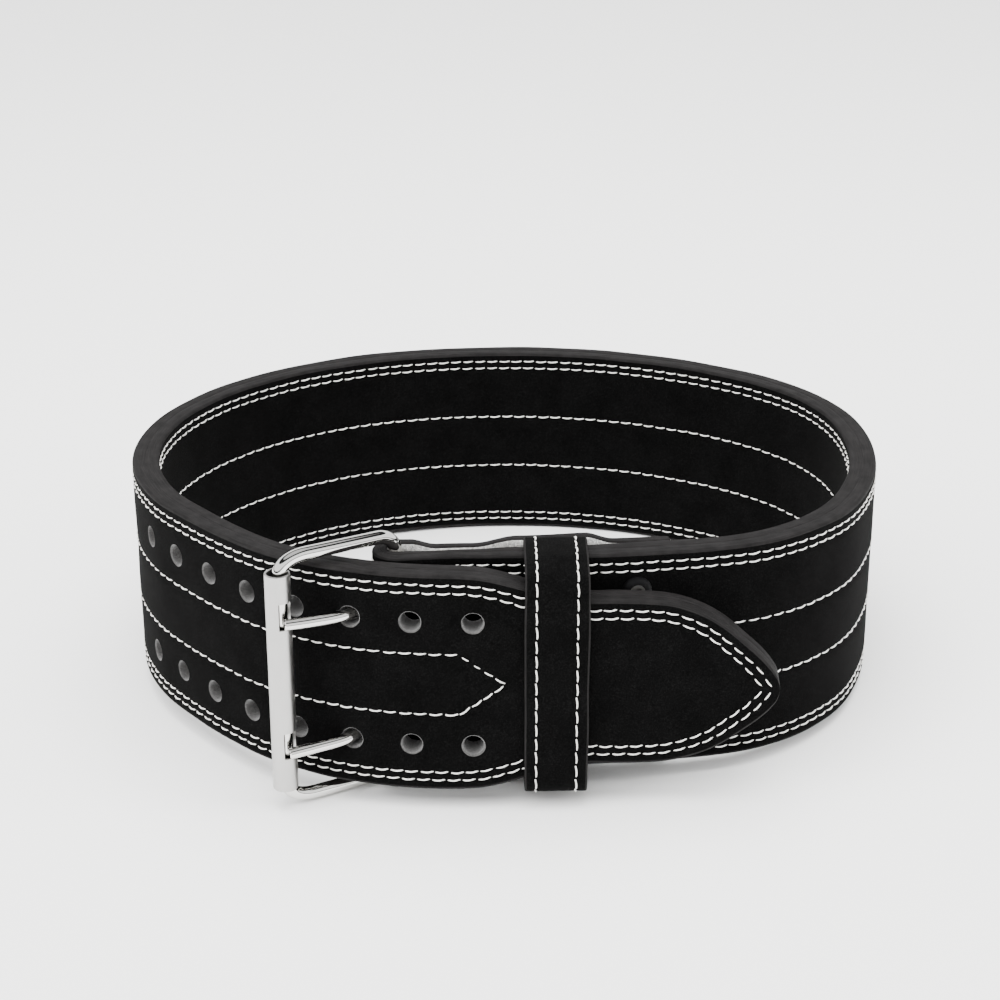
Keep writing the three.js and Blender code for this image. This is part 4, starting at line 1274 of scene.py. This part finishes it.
def studio_air():
    """The studio's white air: a plain backdrop for the camera and the belt, and for the metal's
    reflections a bright room with the dark bands of its unlit parts."""
    world = bpy.data.worlds.new("studio_air")
    world.use_nodes = True
    tree = world.node_tree
    tree.nodes.clear()
    way = add_node(tree, "ShaderNodeTexCoord").outputs["Generated"]
    height = add_node(tree, "ShaderNodeSeparateXYZ", {"Vector": way})
    share = add_node(tree, "ShaderNodeMapRange",
                     {"Value": height.outputs["Z"], "From Min": -1.0, "From Max": 1.0})
    bands = ramp(tree, share.outputs["Result"],
                 [(place, (level / 2, level / 2, level / 2, 1)) for place, level in STUDIO_BANDS])
    seen = add_node(tree, "ShaderNodeLightPath")
    banded = add_node(tree, "ShaderNodeBackground", {"Color": bands, "Strength": 2.0})
    plain = add_node(tree, "ShaderNodeBackground",
                     {"Color": linear("#ffffff"), "Strength": AIR_STRENGTH})
    behind = add_node(tree, "ShaderNodeBackground",
                      {"Color": linear("#ffffff"), "Strength": BACKDROP_STRENGTH})
    light = add_node(tree, "ShaderNodeMixShader", {0: seen.outputs["Is Glossy Ray"]})
    tree.links.new(plain.outputs[0], light.inputs[1])
    tree.links.new(banded.outputs[0], light.inputs[2])
    whole = add_node(tree, "ShaderNodeMixShader", {0: seen.outputs["Is Camera Ray"]})
    tree.links.new(light.outputs[0], whole.inputs[1])
    tree.links.new(behind.outputs[0], whole.inputs[2])
    add_node(tree, "ShaderNodeOutputWorld", {"Surface": whole.outputs[0]})
    return world


def worn_once(name, make, *values):
    """A material by its name, made the first time that it is asked for."""
    return bpy.data.materials.get(name) or make(*values)


def plate(name, colour):
    """One of the belt's metals by its name, which is made once."""
    return worn_once(name, plated_steel, colour, name, *METAL_FINISHES[name])


def leathers(colours):
    """The strap's four materials, in the order that its faces number them."""
    return [
        worn_once("suede_split_cowhide_dyed_black", black_suede, colours.suede),
        worn_once("leather_cut_edge_stained", cut_edge, colours.edge),
        worn_once("leather_flesh_side_skived", flesh_side, colours.flesh,
                  "leather_flesh_side_skived", 1.1 * MM),
        # The hole walls reuse the flesh side's bare fibres in a much darker grey: painted shade
        # inside the holes
        worn_once("leather_punched_bore", flesh_side, colours.bore,
                  "leather_punched_bore", 0.8 * MM),
    ]


def distance(name, description, default):
    """A length in the panel."""
    return bpy.props.FloatProperty(name=name, description=description, default=default,
                                   subtype="DISTANCE", unit="LENGTH")


def tint(name, description, default):
    """A colour in the panel, from its sRGB hex value."""
    return bpy.props.FloatVectorProperty(name=name, description=description,
                                         default=linear(default), size=4, subtype="COLOR")


class BeltSizes(bpy.types.PropertyGroup):
    """Sizes of the leather, the thread and the metal."""

    width: distance("Belt width", "Height of the belt on the body", 100 * MM)
    thickness: distance("Belt thickness", "Thickness of the leather", 12.5 * MM)
    edge_round: distance("Edge rounding", "Radius of the leather's rounded corners", 1.4 * MM)
    hole: distance("Hole diameter", "Diameter of a buckle hole", 9 * MM)
    keeper_width: distance("Keeper width", "Length of belt that the keeper covers", 27 * MM)
    wire: distance("Frame wire", "Diameter of the buckle frame's wire", 6 * MM)
    roller: distance("Roller diameter", "Outside diameter of the roller", 10.8 * MM)
    prong: distance("Prong diameter", "Diameter of a prong's wire", 5 * MM)
    rivet_cap: distance("Rivet cap", "Diameter of a rivet's outside cap", 13 * MM)
    stitch_pitch: distance("Stitch pitch", "Distance from one stitch to the next", 6.5 * MM)
    stitch_length: distance("Stitch length", "Length of thread that shows in a stitch", 5.2 * MM)
    thread_width: distance("Thread width", "Diameter of the thread", 0.68 * MM)
    stitch_slant: bpy.props.FloatProperty(
        name="Stitch slant", description="Turn of a stitch from the line of its seam",
        default=math.radians(1.5), subtype="ANGLE", unit="ROTATION")
    stitch_sag: distance("Stitch sag", "How far a stitch hangs below its seam's line", 0.24 * MM)


class BeltColours(bpy.types.PropertyGroup):
    """Colours of the leather, the thread, the metal and the stage."""

    suede: tint("Suede", "Dyed suede of the belt's faces", "#070707")
    edge: tint("Cut edge", "Stained edge of the leather", "#171616")
    flesh: tint("Flesh side", "Undyed inside of the folded end", "#b4b3b0")
    # The same bare fibres as the flesh side, made far darker: painted shade inside the punched
    # holes
    bore: tint("Hole walls", "Fibres in the punched holes", "#3f3e3d")
    thread: tint("Thread", "Stitching thread", "#f6f4ef")
    nickel: tint("Nickel plate", "Bright plate of the frame and the prongs", "#dcdbd8")
    satin: tint("Satin plate", "Softer plate of the roller", "#b6b5b3")
    cap: tint("Rivet caps", "Plate of the rivets", "#b9b8b6")
    black: tint("Rivet blacking", "Darkened steel of the rivets' outside caps", "#2b2b2c")
    floor: tint("Floor", "Plain floor that the belt stands on", "#f2f2f1")


class BELT_OT_strap(bpy.types.Operator):
    """Builds the leather strap, with its holes, its fold and its tongue."""

    bl_idname = "belt.strap"
    bl_label = "Strap"

    def execute(self, context):
        shape = BeltShape(context.scene.belt_sizes)
        worn = leathers(context.scene.belt_colours)
        strap = strap_mesh(shape, worn)
        for shells in (strap_tools(shape), [
                sweep(shape.prong_points(height, droop), shape.sizes.prong / 2 + PRONG_GROOVE, 24)
                for height, droop in zip(shape.rows, (LOWER_PRONG_DROOP, 0))]):
            tool = new_object("leather_punch", *joined(shells), worn)
            for polygon in tool.data.polygons:
                polygon.material_index = BORE_PAINTED_SHADE
            combine(strap, tool, "DIFFERENCE")
        finish_piece(strap, ["strap"])
        return {"FINISHED"}


class BELT_OT_keeper(bpy.types.Operator):
    """Builds the leather keeper that holds the tongue down."""

    bl_idname = "belt.keeper"
    bl_label = "Keeper"

    def execute(self, context):
        shape = BeltShape(context.scene.belt_sizes)
        band = keeper_mesh(shape, leathers(context.scene.belt_colours))
        finish_piece(band, ["keeper"])
        return {"FINISHED"}


class BELT_OT_buckle(bpy.types.Operator):
    """Builds the buckle's wire frame and the roller on it."""

    bl_idname = "belt.buckle"
    bl_label = "Buckle frame and roller"

    def execute(self, context):
        shape = BeltShape(context.scene.belt_sizes)
        colours = context.scene.belt_colours
        bright = plate("steel_bright_nickel_plate", colours.nickel)
        satin = plate("steel_satin_nickel_plate", colours.satin)
        ring = new_object("buckle_wire", *sweep(frame_path(shape), shape.sizes.wire / 2, 28,
                                                closed=True), [bright])
        finish_piece(ring, ["buckle_frame"])
        tube, notches = roller_shells(shape)
        roller = new_object("roller_tube", *tube, [satin])
        combine(roller, new_object("notch_tool", *joined(notches), [satin]), "DIFFERENCE")
        finish_piece(roller, ["roller"])
        return {"FINISHED"}


class BELT_OT_prongs(bpy.types.Operator):
    """Builds the two prongs, each with its eye round the heel bar."""

    bl_idname = "belt.prongs"
    bl_label = "Prongs"

    def execute(self, context):
        shape = BeltShape(context.scene.belt_sizes)
        bright = plate("steel_bright_nickel_plate", context.scene.belt_colours.nickel)
        for name, height, droop in (("lower", shape.rows[0], LOWER_PRONG_DROOP),
                                    ("upper", shape.rows[1], 0)):
            eye, arm = prong_shells(shape, height, droop)
            prong = new_object(f"prong_{name}_wire", *arm, [bright])
            combine(prong, new_object("prong_eye", *eye, [bright]), "UNION")
            finish_piece(prong, [f"prong_{name}"])
        return {"FINISHED"}


class BELT_OT_rivets(bpy.types.Operator):
    """Builds the six dimpled rivets of the folded end."""

    bl_idname = "belt.rivets"
    bl_label = "Rivets"

    def execute(self, context):
        shape = BeltShape(context.scene.belt_sizes)
        dull = plate("steel_dull_nickel_plate", context.scene.belt_colours.cap)
        black = plate("steel_black_oxide", context.scene.belt_colours.black)
        for rivet in rivets(shape):
            profile = rivet_profile(shape, rivet["grip"])
            made = new_object(f"{rivet['name']}_turned",
                              *lathe(profile, RIVET_SIDES, rivet["place"]), [dull, black])
            for k, polygon in enumerate(made.data.polygons):
                if k // RIVET_SIDES in CAP_RINGS:
                    polygon.material_index = 1
            finish_piece(made, [rivet["name"]])
        return {"FINISHED"}


class BELT_OT_stitches(bpy.types.Operator):
    """Sews the seams of the strap and of the keeper."""

    bl_idname = "belt.stitches"
    bl_label = "Stitches"

    def execute(self, context):
        sizes = context.scene.belt_sizes
        thread = waxed_thread(context.scene.belt_colours.thread)
        tree = stitch_tree(thread)
        seams = Seams(BeltShape(sizes))
        for name, rows, seed in (("stitches_strap", seams.strap_rows(), 3),
                                 ("stitches_keeper", seams.keeper_rows(), 5)):
            finish_piece(sew(name, rows, sizes, tree, seed), [], crease=60)
        return {"FINISHED"}


class BELT_OT_stage(bpy.types.Operator):
    """Sets the floor, the soft lights and the camera."""

    bl_idname = "belt.stage"
    bl_label = "Stage"

    def execute(self, context):
        material, tree, shader = new_material("stage_matt_white", Roughness=0.85,
                                              Specular_IOR_Level=0.2)
        where = add_node(tree, "ShaderNodeTexCoord").outputs["Object"]
        faint = add_node(tree, "ShaderNodeTexNoise", {"Vector": where, "Scale": per_size(0.5)})
        floor_colour = context.scene.belt_colours.floor
        tone = ramp(tree, faint.outputs["Fac"], [(0, shade(floor_colour, 0.99)),
                                                 (1, floor_colour)])
        tree.links.new(tone, shader.inputs["Base Color"])
        reach = STAGE_REACH
        corners = [(-reach, -reach, 0), (reach, -reach, 0), (reach, reach, 0), (-reach, reach, 0)]
        floor = new_object("stage_floor", [Vector(corner) for corner in corners],
                           [(0, 1, 2, 3)], [material])
        context.scene.world = studio_air()
        sun = bpy.data.objects.new("sky_light", bpy.data.lights.new("sky_light", "SUN"))
        sun.data.energy = SUN_STRENGTH
        sun.data.angle = math.radians(SUN_ANGLE)
        sun.visible_glossy = False
        sun.rotation_euler = (-Vector(SUN_FROM)).to_track_quat("-Z", "Y").to_euler()
        context.scene.collection.objects.link(sun)
        for name, place, size, power in SOFTBOXES:
            lamp = bpy.data.lights.new(name, "AREA")
            lamp.shape = "RECTANGLE"
            lamp.size, lamp.size_y = size
            lamp.energy = power
            box = bpy.data.objects.new(name, lamp)
            box.location = place
            box.visible_glossy = False
            aim = Vector((0, 0, 0.05)) - Vector(place)
            box.rotation_euler = aim.to_track_quat("-Z", "Y").to_euler()
            context.scene.collection.objects.link(box)
        view = bpy.data.cameras.new("photo_view")
        view.lens = FOCAL_LENGTH
        view.sensor_width = SENSOR_WIDTH
        view.shift_x = VIEW_SHIFT
        camera = bpy.data.objects.new("photo_view", view)
        turn = Vector((0, 0, 1)).rotation_difference(BELT_UP).to_matrix().to_4x4()
        stand = Matrix.Translation(BELT_MIDDLE) @ turn
        camera.matrix_world = (stand @ Matrix.Translation(CAMERA_PLACE)
                               @ Matrix.Rotation(math.pi / 2 - CAMERA_PITCH, 4, "X"))
        context.scene.collection.objects.link(camera)
        context.scene.camera = camera
        return {"FINISHED"}


class BELT_PT_panel(bpy.types.Panel):
    """The belt's sizes, colours and pieces."""

    bl_idname = "BELT_PT_panel"
    bl_label = "Weightlifting belt"
    bl_space_type = "VIEW_3D"
    bl_region_type = "UI"
    bl_category = "Belt"

    def draw(self, context):
        layout = self.layout
        for group in (context.scene.belt_sizes, context.scene.belt_colours):
            box = layout.box()
            for name in group.__annotations__:
                box.prop(group, name)
        for piece in OPERATORS:
            layout.operator(piece.bl_idname)


OPERATORS = (BELT_OT_stage, BELT_OT_strap, BELT_OT_keeper, BELT_OT_buckle, BELT_OT_prongs,
             BELT_OT_rivets, BELT_OT_stitches)


def register():
    """Registers the classes and hangs the sizes and colours on the scene."""
    for made in (BeltSizes, BeltColours, *OPERATORS, BELT_PT_panel):
        bpy.utils.register_class(made)
    bpy.types.Scene.belt_sizes = bpy.props.PointerProperty(type=BeltSizes)
    bpy.types.Scene.belt_colours = bpy.props.PointerProperty(type=BeltColours)


def unregister():
    """Takes the classes away again."""
    del bpy.types.Scene.belt_sizes
    del bpy.types.Scene.belt_colours
    for made in reversed((BeltSizes, BeltColours, *OPERATORS, BELT_PT_panel)):
        bpy.utils.unregister_class(made)


def main():
    """Builds the stage and every piece."""
    register()
    bpy.ops.belt.stage()
    bpy.ops.belt.strap()
    bpy.ops.belt.keeper()
    bpy.ops.belt.buckle()
    bpy.ops.belt.prongs()
    bpy.ops.belt.rivets()
    bpy.ops.belt.stitches()
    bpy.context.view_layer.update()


if __name__ == "__main__":
    main()
